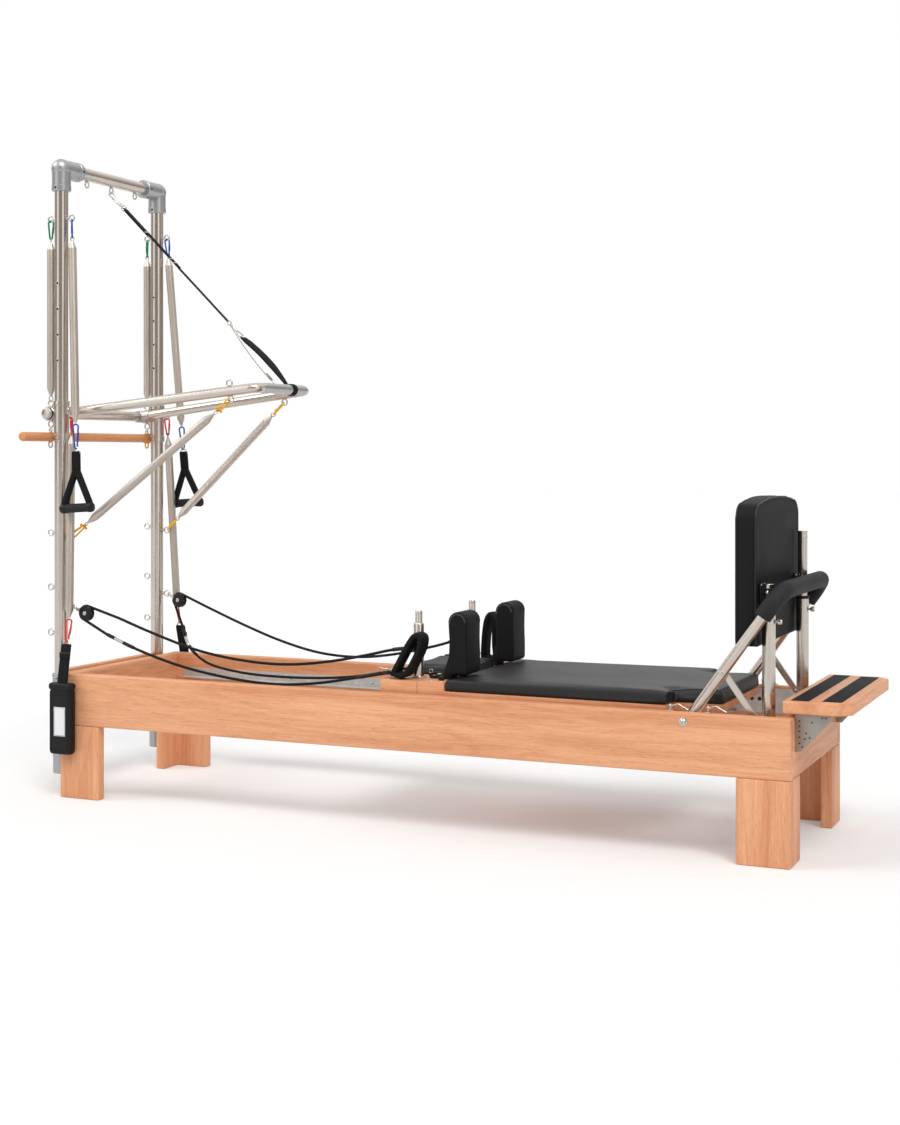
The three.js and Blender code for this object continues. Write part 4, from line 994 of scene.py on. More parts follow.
@dataclass
class Studio:
    """Pale floor, white surroundings, plain light and the camera.

    Attributes:
        eye: Place of the camera in the frame's metres.
        yaw: Turn of the camera from straight across the object, in degrees.
        picture: Height of the picture in pixels.
        sensor: Height of the camera's frame in millimetres.
        focal: Focal length in those pixels.
        horizon: Height of the horizon in them, from the top.
        fill: Strength of the white surroundings as light.
        key: Strength of the two suns.
        floor_half: Half the width of the floor in metres.
        floor_drop: How far it lies below the object's feet.
        panels: Bearing, half width and strength of each upright light panel that bright
            metal shows, in degrees.
    """

    eye: Point = (2.206, -4.870, 1.119)
    yaw: float = 24.08
    picture: float = 1125.0
    sensor: float = 36.0
    focal: float = 1700.0
    horizon: float = 454.7
    fill: float = 0.62
    key: float = 0.85
    floor_half: float = 40.0
    floor_drop: float = 0.0005
    panels: tuple[tuple[float, float, float], ...] = (
        (-116, 16, 0.85), (-27, 11, 1.0), (98, 15, 0.5), (160, 16, 0.7), (-58, 6, -0.16),
        (30, 9, 0.35))

    def camera(self) -> None:
        """Places the camera."""
        data = bpy.data.cameras.new("camera")
        data.sensor_width = self.sensor
        data.lens = self.focal * self.sensor / self.picture
        data.shift_y = -(self.picture / 2 - self.horizon) / self.picture
        data.clip_end = 100.0
        made = bpy.data.objects.new("camera", data)
        made.location = self.eye
        made.rotation_euler = (math.pi / 2, 0.0, math.radians(self.yaw))
        bpy.context.scene.collection.objects.link(made)
        bpy.context.scene.camera = made

    def light(self) -> None:
        """Lights the object evenly, with soft shadows."""
        scene = bpy.context.scene
        scene.view_settings.view_transform = "Standard"
        world = bpy.data.worlds.new("surroundings")
        scene.world = world
        world.use_nodes = True
        world.node_tree.nodes.clear()
        r = Recipe("surroundings", world.node_tree)
        rays = {name: r.node("ShaderNodeLightPath", output=f"Is {name} Ray")
                for name in ("Camera", "Transmission", "Glossy")}
        way = r.node("ShaderNodeTexCoord", output="Generated")
        height = r.node("ShaderNodeSeparateXYZ", {}, {0: way}, output=2)
        flat = r.node("ShaderNodeVectorMath", {"operation": "MULTIPLY"}, {0: way, 1: (1, 1, 0)})
        flat = r.node("ShaderNodeVectorMath", {"operation": "NORMALIZE"}, {0: flat})
        level = 0.27 + height.above(0.42, 0.46) * 0.68
        low = 1.0 - height.above(0.6, 0.3)
        for bearing, half, share in self.panels:
            turn = math.radians(bearing)
            facing = r.node("ShaderNodeVectorMath", {"operation": "DOT_PRODUCT"},
                            {0: flat, 1: (math.cos(turn), math.sin(turn), 0)}, output=1)
            edge = math.cos(math.radians(half))
            level = level + facing.above(edge, (1 - edge) * 0.8) * low * share
        white = (1.0, 1.0, 1.0, 1.0)
        tint = r.blend(level.above(0.55, 0.3), (1.0, 0.86, 0.76, 1.0), white)
        strength = r.node("ShaderNodeMix", {}, {0: rays["Glossy"], 2: self.fill, 3: level})
        seen = rays["Camera"] + rays["Transmission"]
        strength = r.node("ShaderNodeMix", {}, {0: seen, 2: strength, 3: 1.0})
        background = r.node("ShaderNodeBackground", {}, {
            "Color": r.blend(rays["Glossy"], white, tint), "Strength": strength})
        r.node("ShaderNodeOutputWorld", {}, {"Surface": background}, output=None)
        for name, turn, share, spread in (("key", (38, 10, 28), 1.0, 24),
                                          ("side", (52, 0, -62), 0.55, 30)):
            data = bpy.data.lights.new(name, "SUN")
            data.energy = self.key * share * 1.6
            data.angle = math.radians(spread)
            made = bpy.data.objects.new(name, data)
            made.rotation_euler = [math.radians(a) for a in turn]
            scene.collection.objects.link(made)

    def floor(self) -> None:
        """Lays the pale floor."""
        bm = bmesh.new()
        bmesh.ops.create_grid(bm, x_segments=1, y_segments=1, size=self.floor_half)
        mesh = bpy.data.meshes.new("floor")
        bm.to_mesh(mesh)
        bm.free()
        made = bpy.data.objects.new("floor", mesh)
        made.location.z = -self.floor_drop
        bpy.context.scene.collection.objects.link(made)
        r = Recipe("floor_white")
        mottle = r.noise(r.object_space(), 3.0, 2.0, 0.5)
        colour = r.blend(mottle, (0.80, 0.80, 0.80, 1), (0.82, 0.82, 0.82, 1))
        rays = r.node("ShaderNodeLightPath", output="Is Camera Ray")
        r.done(base_color=colour, roughness=0.9, emission_strength=0.14,
               emission_color=r.blend(rays, (0, 0, 0, 1), (1, 1, 1, 1)))
        made.data.materials.append(r.material)


@dataclass
class Ropes:
    """Ropes that run from the risers over the pulleys to the platform's cleats."""

    radius: float = 4.5
    wrap: float = 23.7
    sheave: Point = (58, 276, 598)
    riser_end: Point = (1215.5, 205, 530)
    cleat_end: Point = (1138.3, 200, 452)
    ferrule: Point = (40.0, 78.0)
    pace: float = 2.0
    boot_steps: tuple[int, int] = (16, 22)

    UPPER = {
        "near": [(180, 270, 586), (299, 265, 545), (483, 252, 490), (663, 240, 464),
                 (796, 230, 461), (926, 221, 475), (1054, 211, 500), (1150, 206, 522)],
        "far": [(180, 270, 577), (335, 254, 524), (497, 239, 475), (656, 224, 443),
                (800, 217, 436), (930, 212, 450), (1060, 208, 478), (1150, 206, 503)],
    }
    LOWER = {
        "near": [(130, 271, 533), (249, 265, 486), (389, 256, 444), (481, 249, 424),
                 (617, 239, 404), (750, 230, 396), (881, 220, 405), (985, 212, 422),
                 (1080, 202, 441)],
        "far": [(72, 275, 505), (100, 270, 440), (175, 260, 385), (320, 248, 357),
                (520, 240, 350), (740, 232, 362), (900, 222, 387), (1000, 212, 410),
                (1080, 202, 436)],
    }

    def route(self, side: str, steps: int = 34) -> tuple[list[Vector], int]:
        """Middle line of one rope.

        Args:
            side: Which rope.
            steps: Stretches of each strand.

        Returns:
            Its points from the riser to the cleat, and how many lie before the lower strand.
        """
        sign = SIDES[side]

        def leaving(spot: Point, way: int) -> float:
            """Angle at which a straight strand leaves the sheave for a place."""
            along, up = spot[0] - self.sheave[0], spot[2] - self.sheave[2]
            return math.atan2(up, along) + way * math.acos(self.wrap / math.hypot(along, up))

        upper, lower = (
            smooth_path([mirrored(p, sign) for p in (*strand[side], last)], steps)
            for strand, last in ((self.UPPER, self.riser_end), (self.LOWER, self.cleat_end)))
        start = leaving(self.UPPER[side][0], 1)
        end = leaving(self.LOWER[side][0], -1) + 2 * math.pi
        turn = []
        for k in range(17):
            angle = start + (end - start) * k / 16
            off = Vector((math.cos(angle), 0, math.sin(angle))) * self.wrap
            turn.append(mirrored(Vector(self.sheave) + off, sign))
        points = [*reversed(upper), *turn, *lower]
        return points, len(upper) + len(turn)

    def build(self) -> None:
        for side, sign in SIDES.items():
            points, lower_start = self.route(side)
            span = ((170, sign * 270, 500), (1110, sign * 205, 500))
            home = Fitting(("frame", "carriage"), span=span)
            rope = Form().sweep(points, round_bar(self.radius, 16), mapped=True)
            made = Fitting(("frame", "carriage"), "rope", (f"rope_{side}",), span).put(
                rope, f"rope_line_{side}", "braid")
            lower = points[lower_start:]
            near_pulley = dense_path(lower, self.pace)
            first, last = (int(r / self.pace) for r in self.ferrule)
            before, after = self.boot_steps
            tube = Form().sweep(near_pulley[first:last], round_bar(5.3, 20))
            home.put(tube, f"rope_ferrule_{side}", "chrome")
            sleeves = Form()
            sleeves.sweep(near_pulley[first - before:first], round_bar(5.9, 16))
            sleeves.sweep(near_pulley[last:last + after], round_bar(5.9, 16))
            ending = dense_path(points[-8:], 3.0)
            sleeves.sweep(ending[-44:-4], round_bar(6.3, 16),
                          sizes=lambda t: 0.82 + 0.18 * min(1.0, t * 6))
            upper_end = dense_path(points[:6], 3.0)
            sleeves.sweep(upper_end[2:26], round_bar(6.1, 16))
            home.put(sleeves, f"rope_sleeves_{side}", "plastic")
            line = [(p + ORIGIN) * METRE for p in points]
            tuple(line[0])
            round(path_length(line), 3)
            [tuple(p) for p in line]


@dataclass
class TimberFrame:
    """Rails on L-shaped legs, with the tracks inside them and the spring bar."""

    half_width: float = 340.0
    track_face: float = 299.7
    pivot: Point = (2102.0, 380.0)
    track_screws: range = range(190, 2060, 315)
    clamp_screws: Point = (76, 90, 104)
    end_screws: Point = (2112, 2332)
    rack: Point = (2136, 2160, 2184)
    rack_z: float = 364.0
    toggles: Point = (2058, 2166)
    toggle_y: float = 314.0
    rail_top: float = 405.0
    spring_hooks: Point = (-160, -80, 80, 160)

    def timbers(self) -> None:
        """Rails, cross rails and legs."""
        jobs = [("side_rail_near", "rail_near", 1.6, "wood_x"),
                ("side_rail_far", "rail_far", 1.6, "wood_x2"),
                ("head_rail", "rail_head", 1.6, "wood_y"),
                ("foot_rail", "rail_foot", 1.6, "wood_y2"),
                ("leg_head_near", "leg_near_head", 4.0, "wood_z"),
                ("leg_head_far", "leg_far_head", 4.0, "wood_z2"),
                ("leg_foot_near", "leg_near_foot", 4.0, "wood_z2"),
                ("leg_foot_far", "leg_far_foot", 4.0, "wood_z"),
                ("tower_board", "board_between_posts", 2.0, "wood_y")]
        for node, name, edge, wood in jobs:
            Fitting("frame", "beech", (node,)).put(Form().copied(node, edge, 3), name, wood)

    def tracks(self) -> None:
        """Tracks with their screws, and dark discs of painted shade in the bores of the footbar's
        rack.
        """
        for side, sign in SIDES.items():
            node = f"track_{side}"
            Fitting("frame", "anodised_track", (node,)).put(
                Form().copied(node, 0.6, 1), f"track_rail_{side}", "aluminium")
            face = sign * self.track_face
            inward = (0, -sign, 0)
            screws, bores = Form(), Form()
            for places, z, radius, height in (
                    (self.clamp_screws, 346, 3.2, 1.8), (self.track_screws, 338, 5.2, 2.6),
                    (self.end_screws, 352, 5.2, 2.6)):
                for x in places:
                    screws.screw((x, face, z), inward, radius, height)
            # painted shade: a dark disc on the track's face stands for the shade inside each bore
            # of the rack
            for x in self.rack:
                bores.rod((x, face + sign * 0.5, self.rack_z),
                          (x, face - sign * 0.6, self.rack_z), 5.5, sides=24, edge=0.3)
                screws.ring((x, face - sign * 0.5, self.rack_z), ACROSS, 6.2, 0.8)
            Fitting("frame").put(screws, f"track_screws_{side}", "chrome")
            Fitting("frame").put(bores, f"rack_bore_shade_{side}", "hole")

    def bolts(self) -> None:
        """Bolts through the rails, and the toggles that lock the footbar's rack."""
        bolts = Form()
        for sign in SIDES.values():
            out = (0, sign, 0)
            x, z = self.pivot
            wall = sign * self.half_width
            bolts.rod((x, wall - sign, z), (x, wall + sign * 1.4, z), 12.5, edge=0.5)
            bolts.screw((x, wall + sign * 1.2, z), out, 8.6, 4.2)
            for at in self.toggles:
                y, low = sign * self.toggle_y, self.rail_top
                bolts.rod((at, y, low - 0.5), (at, y, low + 14), 2.6, edge=0.5)
                bolts.ball((at, y, low + 15), 4.4)
                arm = rounded_path([(at, y, low + 12), (at + 20, y - sign * 3, low + 20),
                                    (at + 42, y - sign * 6, low + 8),
                                    (at + 50, y - sign * 7, low + 3)], 7, 5)
                bolts.sweep(arm, round_bar(1.8, 12))
                bolts.block((at - 8, y - 6, low - 0.2), (at + 9, y + 6, low + 3), 1)
        Fitting("frame").put(bolts, "frame_bolts", "chrome")

    def spring_bar(self) -> None:
        """Bar for the carriage's springs, with its hooks."""
        Fitting("frame", "tube_steel", ("spring_bar",)).put(
            Form().copied("spring_bar", 1.0, 2), "spring_rest", "tube_y")
        hooks = Form()
        for y in self.spring_hooks:
            hooks.sweep(rounded_path([(2266, y, 306), (2250, y, 306), (2250, y, 322),
                                      (2258, y, 326)], 5, 5), round_bar(2.6, 12))
        Fitting("frame").put(hooks, "spring_rest_hooks", "chrome")

    def build(self) -> None:
        """Builds the frame."""
        self.timbers()
        self.tracks()
        self.bolts()
        self.spring_bar()


@dataclass
class StandingPlate:
    """Plate past the foot end, with grip strips, on a steel bracket."""

    top: float = 450.0
    strips: tuple[tuple[float, float, float], ...] = ((2391, 2440, 292), (2474, 2527, 282))
    ribs: int = 5
    gusset_y: float = 282.5
    under: float = 415.7
    face: float = 2400.3
    holes: tuple[tuple[float, float], ...] = (
        (12, 22), (12, 36), (12, 50), (12, 66), (12, 82), (46, 24), (30, 54), (27, 70),
        (40, 66), (20, 92), (74, 10), (84, 10))

    def build(self) -> None:
        """Builds the plate, its strips and its bracket, with dark discs of painted shade in the
        bracket's holes.
        """
        Fitting("frame", "beech", ("foot_plate",)).put(
            Form().copied("foot_plate", 3.5, 3), "standing_board", "wood_y2")
        grips = Form()
        for x0, x1, half in self.strips:
            grips.block((x0, -half, self.top - 0.2), (x1, half, self.top + 1.3), 0.5)
            for k in range(self.ribs):
                x = x0 + (x1 - x0) * (k + 1) / (self.ribs + 1)
                grips.block((x - 2.2, -half + 4, self.top + 1),
                            (x + 2.2, half - 4, self.top + 1.9), 0.35)
        Fitting("frame").put(grips, "grip_strips", "rubber")
        Fitting("frame", "cast_fitting", ("foot_plate_bracket",)).put(
            Form().copied("foot_plate_bracket", 0.8, 2), "plate_bracket", "bracket")
        holes, plugs = Form(), Form()
        for sign in SIDES.values():
            y = sign * self.gusset_y
            # painted shade: a thin dark disc on the gusset stands for the shade inside each hole
            for along, down in self.holes:
                spot = Vector((self.face + along, y, self.under - down))
                holes.rod(spot, spot + Vector((0, sign * 0.5, 0)), 2.3, sides=16)
            for along in (20, 60, 84):
                plugs.screw((self.face + along, sign * 262, self.under - 5.3), (0, 0, -1),
                            4.5, 2.4)
        for y in (-95, 95):
            plugs.screw((2457, y, self.top), (0, 0, 1), 6.0, 1.6)
        Fitting("frame").put(holes, "bracket_hole_shade", "hole")
        Fitting("frame").put(plugs, "plate_screws", "cast")


@dataclass
class Tower:
    """Two posts with a bar across their tops, and the fittings on them."""

    post_x: float = -40.0
    post_y: float = 280.0
    radius: float = 22.5
    foot: float = 67.0
    top: float = 2040.0
    bar_z: float = 2066.0
    bar_radius: float = 21.0
    reach: float = 42.0
    ring_radius: float = 10.0
    wire: float = 2.6
    pivot_z: float = 1255.0
    pivot_x: float = -81.0
    pin_heights: Point = (1430, 1515, 1600, 1685)
    bar_eyes: Point = (-140, 0, 140)

    def eyes(self) -> list[tuple[float, float]]:
        """Offset from the post and height of each ring on a post."""
        r = self.reach
        return [(r, 1900), (-r, 1900), (r, 848), (r, 620), (-r, 860), (-r, 680), (-r, 530)]

    def post(self, side: str, sign: int) -> None:
        """One post with its rings, foot cap, and dark discs of painted shade in its pin holes."""
        x, y = self.post_x, sign * self.post_y
        tube = Form().rod((x, y, self.foot + 4), (x, y, self.top), self.radius, sides=56)
        Fitting("frame", "tube_steel", (f"post_{side}",)).put(tube, f"post_tube_{side}", "tube_z")
        rings = Form()
        for off, z in self.eyes():
            way = math.copysign(1, off)
            rings.ring((x + off, y, z), ACROSS, self.ring_radius, self.wire)
            rings.rod((x + way * (self.radius - 1), y, z),
                      (x + off - way * (self.ring_radius - 0.5), y, z), self.wire, sides=16)
            rings.rod((x + way * (self.radius - 0.5), y, z),
                      (x + way * (self.radius + 3.2), y, z), 6.2, sides=6, edge=0.5)
        Fitting("frame").put(rings, f"post_rings_{side}", "chrome")
        cap = Form().spun([(0, 0), (25, 0), (27, 2), (27, 56), (28.2, 57), (28.2, 62),
                           (27, 63), (22.6, 63), (0, 63)],
                          Matrix.Translation((x, y, self.foot)), 48)
        Fitting("frame").put(cap, f"post_foot_cap_{side}", "cast")
        holes, rims = Form(), Form()
        # painted shade: a dark disc on each side of the post stands for the shade inside each pin
        # hole
        for z in self.pin_heights:
            for way in (-1, 1):
                face = y + way * self.radius
                holes.rod((x, face - way * 1.0, z), (x, face + way * 0.25, z), 4.2, sides=20)
                rims.ring((x, face - way * 0.1, z), ACROSS, 4.8, 0.9, 20)
        for z in (750, 1010):
            rims.screw((x, y - self.radius + 0.3, z), (0, -1, 0), 3.0, 1.2)
        Fitting("frame").put(holes, f"pin_hole_shade_{side}", "hole")
        Fitting("frame").put(rims, f"pin_rims_{side}", "chrome")

    def elbow(self, side: str, sign: int) -> None:
        """Cast elbow that joins a post to the top bar."""
        x, y, z = self.post_x, sign * self.post_y, self.bar_z
        cast = Form().ball((x, y, z - 1), 33, sides=40)
        cast.spun([(22.8, -75), (30.5, -75), (32, -73.5), (32, -58), (31, -57), (31, 0),
                   (22.8, 0)], Matrix.Translation((x, y, z)), 48)
        inward = aimed((x, y, z), outward(-sign))
        cast.spun([(21.3, 92), (30.5, 92), (32, 90.5), (32, 74), (31, 73), (31, 0), (21.3, 0)],
                  inward, 48)
        Fitting("frame", "cast_fitting", (f"elbow_{side}",)).put(
            cast, f"elbow_cast_{side}", "cast")
        screws = Form()
        # painted shade: a dark hexagon on the cast stands for the socket of each set screw
        screws.rod((x, y - 31, z - 66), (x, y - 32.4, z - 66), 4.2, sides=6)
        screws.rod((x + 31, y - sign * 80, z), (x + 32.4, y - sign * 80, z), 4.2, sides=6)
        Fitting("frame").put(screws, f"elbow_screw_socket_shade_{side}", "hole")

    def bar(self) -> None:
        """Bar across the top with the eyes below it and a stop peg."""
        x, z = self.post_x, self.bar_z
        bar = Form().rod((x, -254, z), (x, 254, z), self.bar_radius, sides=56)
        Fitting("frame", "tube_steel", ("top_bar",)).put(bar, "bar_over_posts", "tube_y")
        eyes = Form()
        drop = z - self.bar_radius - self.ring_radius - self.wire
        for y in self.bar_eyes:
            eyes.ring((x, y, drop), ALONG, self.ring_radius, self.wire)
            eyes.rod((x, y, drop + self.ring_radius - 0.5), (x, y, z - 12), self.wire, sides=16)
            eyes.rod((x, y, z - self.bar_radius - 3), (x, y, z - self.bar_radius + 1.5), 6,
                     sides=6, edge=0.5)
        eyes.rod((x, 196, z + 18), (x, 196, z + 27), 3.2, edge=0.6)
        Fitting("frame").put(eyes, "bar_eyes", "chrome")

    def collar(self, side: str, sign: int) -> None:
        """Cast collar that carries the push bar's pivot."""
        x, y, z = self.post_x, sign * self.post_y, self.pivot_z
        cast = Form().spun([(22.8, -89.7), (26, -89.7), (27, -88.7), (27, -70), (25.6, -68.5),
                            (25.6, 26), (27, 27.5), (27, 41.2), (26, 42.2), (22.8, 42.2)],
                           Matrix.Translation((x, y, z)), 48)
        across = aimed((self.pivot_x, y, z), ACROSS)
        cast.spun([(17.6, -18), (22.5, -18), (24, -16.5), (24, 16.5), (22.5, 18), (17.6, 18),
                   (17.6, -18)], across, 40)
        cast.block((self.pivot_x + 16, y - 12, z - 17), (x - 20, y + 12, z + 17), 4)
        Fitting("frame", "cast_fitting", (f"pivot_collar_{side}",)).put(
            cast, f"collar_cast_{side}", "tube_z")
        eyes = Form()
        for spot in ((self.post_x - self.reach, y, z + 34), (self.post_x - self.reach, y, z - 34),
                     (self.post_x + self.reach, y, z)):
            eyes.ring(spot, ACROSS, self.ring_radius, self.wire)
        for way in (-1, 1):
            eyes.rod((x - self.reach, y, z + way * 20), (x - self.reach, y, z + way * 25), 4)
        eyes.rod((x + 24, y, z), (x + self.reach - 9.6, y, z), self.wire, sides=16)
        eyes.rod((x + 24, y, z), (x + 29, y, z), 6.2, sides=6, edge=0.5)
        eyes.screw((x, y + sign * 26.4, z + 34), (0, sign, 0), 4, 2.4)
        eyes.screw((x, y - 26.4, z - 80), (0, -1, 0), 4, 2.4)
        Fitting("frame").put(eyes, f"collar_eyes_{side}", "chrome")

    def clamp(self) -> None:
        """Sleeves and strip that hold the posts to the head rail."""
        cast = Form()
        for sign in SIDES.values():
            x, y = self.post_x, sign * self.post_y
            cast.spun([(22.8, 335), (29.4, 335), (30.4, 336), (30.4, 345), (29, 346.5),
                       (29, 383.5), (30.4, 385), (30.4, 394), (29.4, 395), (22.8, 395)],
                      Matrix.Translation((x, y, 0)), 48)
            cast.block((x + 24, y - 30, 336), (-0.3, y + 30, 394), 2)
        cast.block((-70.5, -262, 336), (-65.5, 262, 394), 1)
        Fitting("frame", "cast_fitting", ("tower_clamp",)).put(cast, "post_clamps", "cast")
        bolts = Form()
        for sign in SIDES.values():
            for z in (348, 382):
                bolts.screw((self.post_x, sign * (self.post_y + 29.2), z), (0, sign, 0), 4.4, 3)
            for y in (60, 210):
                bolts.screw((-70.5, sign * y, 365), (-1, 0, 0), 6, 3)
        Fitting("frame").put(bolts, "clamp_bolts", "chrome")

    def build(self) -> None:
        """Builds the tower."""
        for side, sign in SIDES.items():
            self.post(side, sign)
            self.elbow(side, sign)
            self.collar(side, sign)
        self.bar()
        self.clamp()


def snap_hook(form: Form, top: Vector, foot: Vector, face: Vector, width: float = 22.0,
              wire: float = 2.8, narrow: float = 0.5) -> Form:
    """Adds a pear-shaped snap hook between two places, wide at its foot.

    Args:
        form: Form that takes it.
        top: Middle of the wire at its narrow end.
        foot: Middle of the wire at its wide end.
        face: The way that its flat side looks.
        width: Outer width at the wide end.
        wire: Radius of its wire.
        narrow: Share of the width at the narrow end.

    Returns:
        The form.
    """
    place = aimed(top, foot - top, face.cross(foot - top))
    length = (foot - top).length
    big, small = width / 2 - wire, (width / 2) * narrow - wire * 0.6
    lean = math.asin((big - small) / (length - big - small))
    points = []
    for k in range(13):
        angle = math.pi + lean + (math.pi - 2 * lean) * k / 12
        points.append(Vector((small * math.cos(angle), 0, small + small * math.sin(angle))))
    for k in range(15):
        angle = -lean + (math.pi + 2 * lean) * k / 14
        points.append(Vector((big * math.cos(angle), 0, length - big + big * math.sin(angle))))
    points = [place @ p for p in points]
    form.sweep(points, round_bar(wire, 12), closed=True)
    gate = place @ Vector((-(big * 0.3 + small * 0.7) - 0.3, 0, length * 0.3))
    gate_end = place @ Vector((-(big * 0.85 + small * 0.15) - 0.3, 0, length * 0.68))
    form.rod(gate, gate_end, wire * 1.25, sides=16, edge=0.5)
    form.rod(gate + (gate_end - gate) * 0.02 - face * wire * 1.5,
             gate + (gate_end - gate) * 0.02 + face * wire * 1.5, wire * 0.5, sides=10)
    return form


@dataclass
class StrapLine:
    """Line of a strap, the way along it and the way across it."""

    start: Vector
    way: Vector
    side: Vector

    def spot(self, along: float, across: float = 0.0, out: float = 0.0) -> Vector:
        """A place by the line."""
        face = self.way.cross(self.side)
        return self.start + self.way * along + self.side * across + face * out


@dataclass
class PushBar:
    """Push-through bar with its springs and its safety strap."""

    pivot: Point = (-81, 0, 1255)
    lift: float = math.radians(6.3)
    length: float = 726.0
    root_span: float = 476.0
    tip_span: float = 330.0
    tube: float = 16.0
    pivot_tube: float = 17.0
    pivot_half: float = 311.0
    bend: float = 34.0
    eye_from_tip: float = 96.0
    ring: float = 10.0
    wire: float = 2.6
    coil: float = 14.0
    spring_foot: Point = (2, 280, 848)
    strap_seat: Point = (-40, 0, 2019.2)

    def place(self, x: float, y: float, z: float) -> Vector:
        """A place on the bar, from its pivot along its arms."""
        c, s = math.cos(self.lift), math.sin(self.lift)
        return Vector((self.pivot[0] + x * c - z * s, y, self.pivot[2] + x * s + z * c))

    def arm_y(self, x: float) -> float:
        """Distance of an arm from the middle line."""
        return (self.root_span + (self.tip_span - self.root_span) * x / self.length) / 2

    def bar(self) -> None:
        """Tube and pivot tube."""
        root, tip = self.root_span / 2, self.tip_span / 2
        corners = [self.place(0, -root, 0), self.place(self.length, -tip, 0),
                   self.place(self.length, tip, 0), self.place(0, root, 0)]
        path = rounded_path(corners, self.bend, 12)
        tube = Form().sweep(path, round_bar(self.tube, 32))
        Fitting("push_bar", "tube_steel", ("push_bar",)).put(tube, "push_tube", "tube_x")
        x, _, z = self.pivot
        axle = Form().rod((x, -self.pivot_half, z), (x, self.pivot_half, z), self.pivot_tube,
                          sides=40, edge=1.0)
        Fitting("push_bar").put(axle, "push_axle", "tube_y")

    def sleeves(self) -> None:
        """Sleeves on the tubes, and the caps of the pivot tube."""
        root, tip = self.root_span / 2, self.tip_span / 2
        x, _, z = self.pivot
        cast, black = Form(), Form()
        for sign in SIDES.values():
            away = aimed((x, sign * 300.5, z), outward(sign))
            black.spun([(0, 0), (18.6, 0), (18.6, 2.6), (0, 2.6)], away, 36)
            cast.spun([(0, 10.4), (9, 10.2), (15.5, 8.2), (19.4, 5.2), (20.4, 2.4), (20.4, 2.8),
                       (0, 2.8)], away, 40)
            y = sign * root
            cast.spun([(17.1, -22), (20, -22), (21, -21), (21, 18), (20, 19), (17.1, 19)],
                      aimed((x, y, z), outward(sign)), 40)
            start = self.place(12, sign * self.arm_y(12), 0)
            end = self.place(50, sign * self.arm_y(50), 0)
            cast.spun([(16.1, 0), (19.4, 0), (19.4, 34), (18.4, 35.4), (16.1, 35.4)],
                      aimed(start, end - start), 40)
        joint = tip - self.bend + 2
        cast.spun([(16, -joint), (17.6, -joint + 0.8), (17.6, -joint + 13), (17.2, -joint + 13.6),
                   (17.2, joint - 13.6), (17.6, joint - 13), (17.6, joint - 0.8), (16, joint)],
                  aimed(self.place(self.length, 0, 0), ACROSS), 44)
        Fitting("push_bar").put(cast, "push_sleeves", "sleeve")
        Fitting("push_bar").put(black, "push_washers", "plastic")

    def rings(self) -> None:
        """Rings that springs and straps hook into."""
        eyes = Form()
        at = self.length - self.eye_from_tip
        drop = self.tube + self.ring
        for sign, ways in ((-1, (-1, 1)), (1, (-1,))):
            y = sign * self.arm_y(at)
            for way in ways:
                eyes.ring(self.place(at, y, way * drop), ACROSS, self.ring, self.wire)
                eyes.rod(self.place(at, y, way * (self.tube - 2)),
                         self.place(at, y, way * (drop - self.ring + 0.5)), self.wire, sides=16)
                eyes.rod(self.place(at, y, way * (self.tube - 1)),
                         self.place(at, y, way * (self.tube + 2.4)), 6, sides=6, edge=0.5)
        Fitting("push_bar").put(eyes, "push_eyes", "chrome")

    def springs(self) -> None:
        """Springs from the posts to the bar, with a yellow hook at both ends."""
        at = self.length - self.eye_from_tip
        for side, sign in SIDES.items():
            low = mirrored(self.spring_foot, sign)
            high = self.place(at, sign * self.arm_y(at), -self.tube - self.ring)
            way = (high - low).normalized()
            length = (high - low).length
            span = (low, high)
            home = Fitting(("frame", "push_bar"), span=span)
            hooks, rings = Form(), Form()
            face = Vector((way.z, 0.75 * sign, -way.x)).normalized()
            other = way.cross(face)
            snap_hook(hooks, low + way * 62, low + way * 5, face)
            snap_hook(hooks, high - way * 62, high - way * 5, face)
            for end, back in ((low, way), (high, -way)):
                rings.ring(end + back * 67, other, 7.2, 1.9)
                hooks.rod(end + back * 54 - other * 11, end + back * 54 + other * 11, 3.4,
                          sides=16, edge=0.8)
                for across in (-11, 11):
                    hooks.ball(end + back * 54 + other * across, 4.6)
            coil = Form().coil(low + way * 75, high - way * 75, self.coil, 1.75, 3.9, 30, 4.2)
            Fitting(("frame", "push_bar"), "spring_steel", (f"push_spring_{side}",), span).put(
                coil, f"push_coil_{side}", "spring")
            home.put(hooks, f"push_hooks_{side}", "yellow")
            home.put(rings, f"push_links_{side}", "chrome")
            LOG.info("push spring %s is %.0f mm between its rings", side, length)

    def strap(self) -> None:
        """Safety strap from the top bar's middle eye to the bar's tip."""
        seat = Vector(self.strap_seat)
        middle = self.place(self.length, 55, 0)
        tip = middle + (seat - middle).normalized() * 18.5
        way = (tip - seat).normalized()
        length = (tip - seat).length
        line = StrapLine(seat, way, (ACROSS - way * way.y).normalized())
        span = (seat, tip)
        band = self.webbing(line, length)
        Fitting(("frame", "push_bar"), "webbing", ("safety_strap",), span).put(
            band, "safety_webbing", "webbing")
        steel = self.buckles(line, length)
        Fitting(("frame", "push_bar"), span=span).put(steel, "safety_buckles", "chrome")
        loop = [middle + Vector((math.cos(a), 0, math.sin(a))) * 18.8
                for a in (2 * math.pi * k / 24 for k in range(24))]
        wrap = Form().sweep(loop, Section(26, 2.6, 16, 0.4), closed=True, side=ACROSS,
                            mapped=True)
        Fitting("push_bar").put(wrap, "safety_wrap", "webbing")

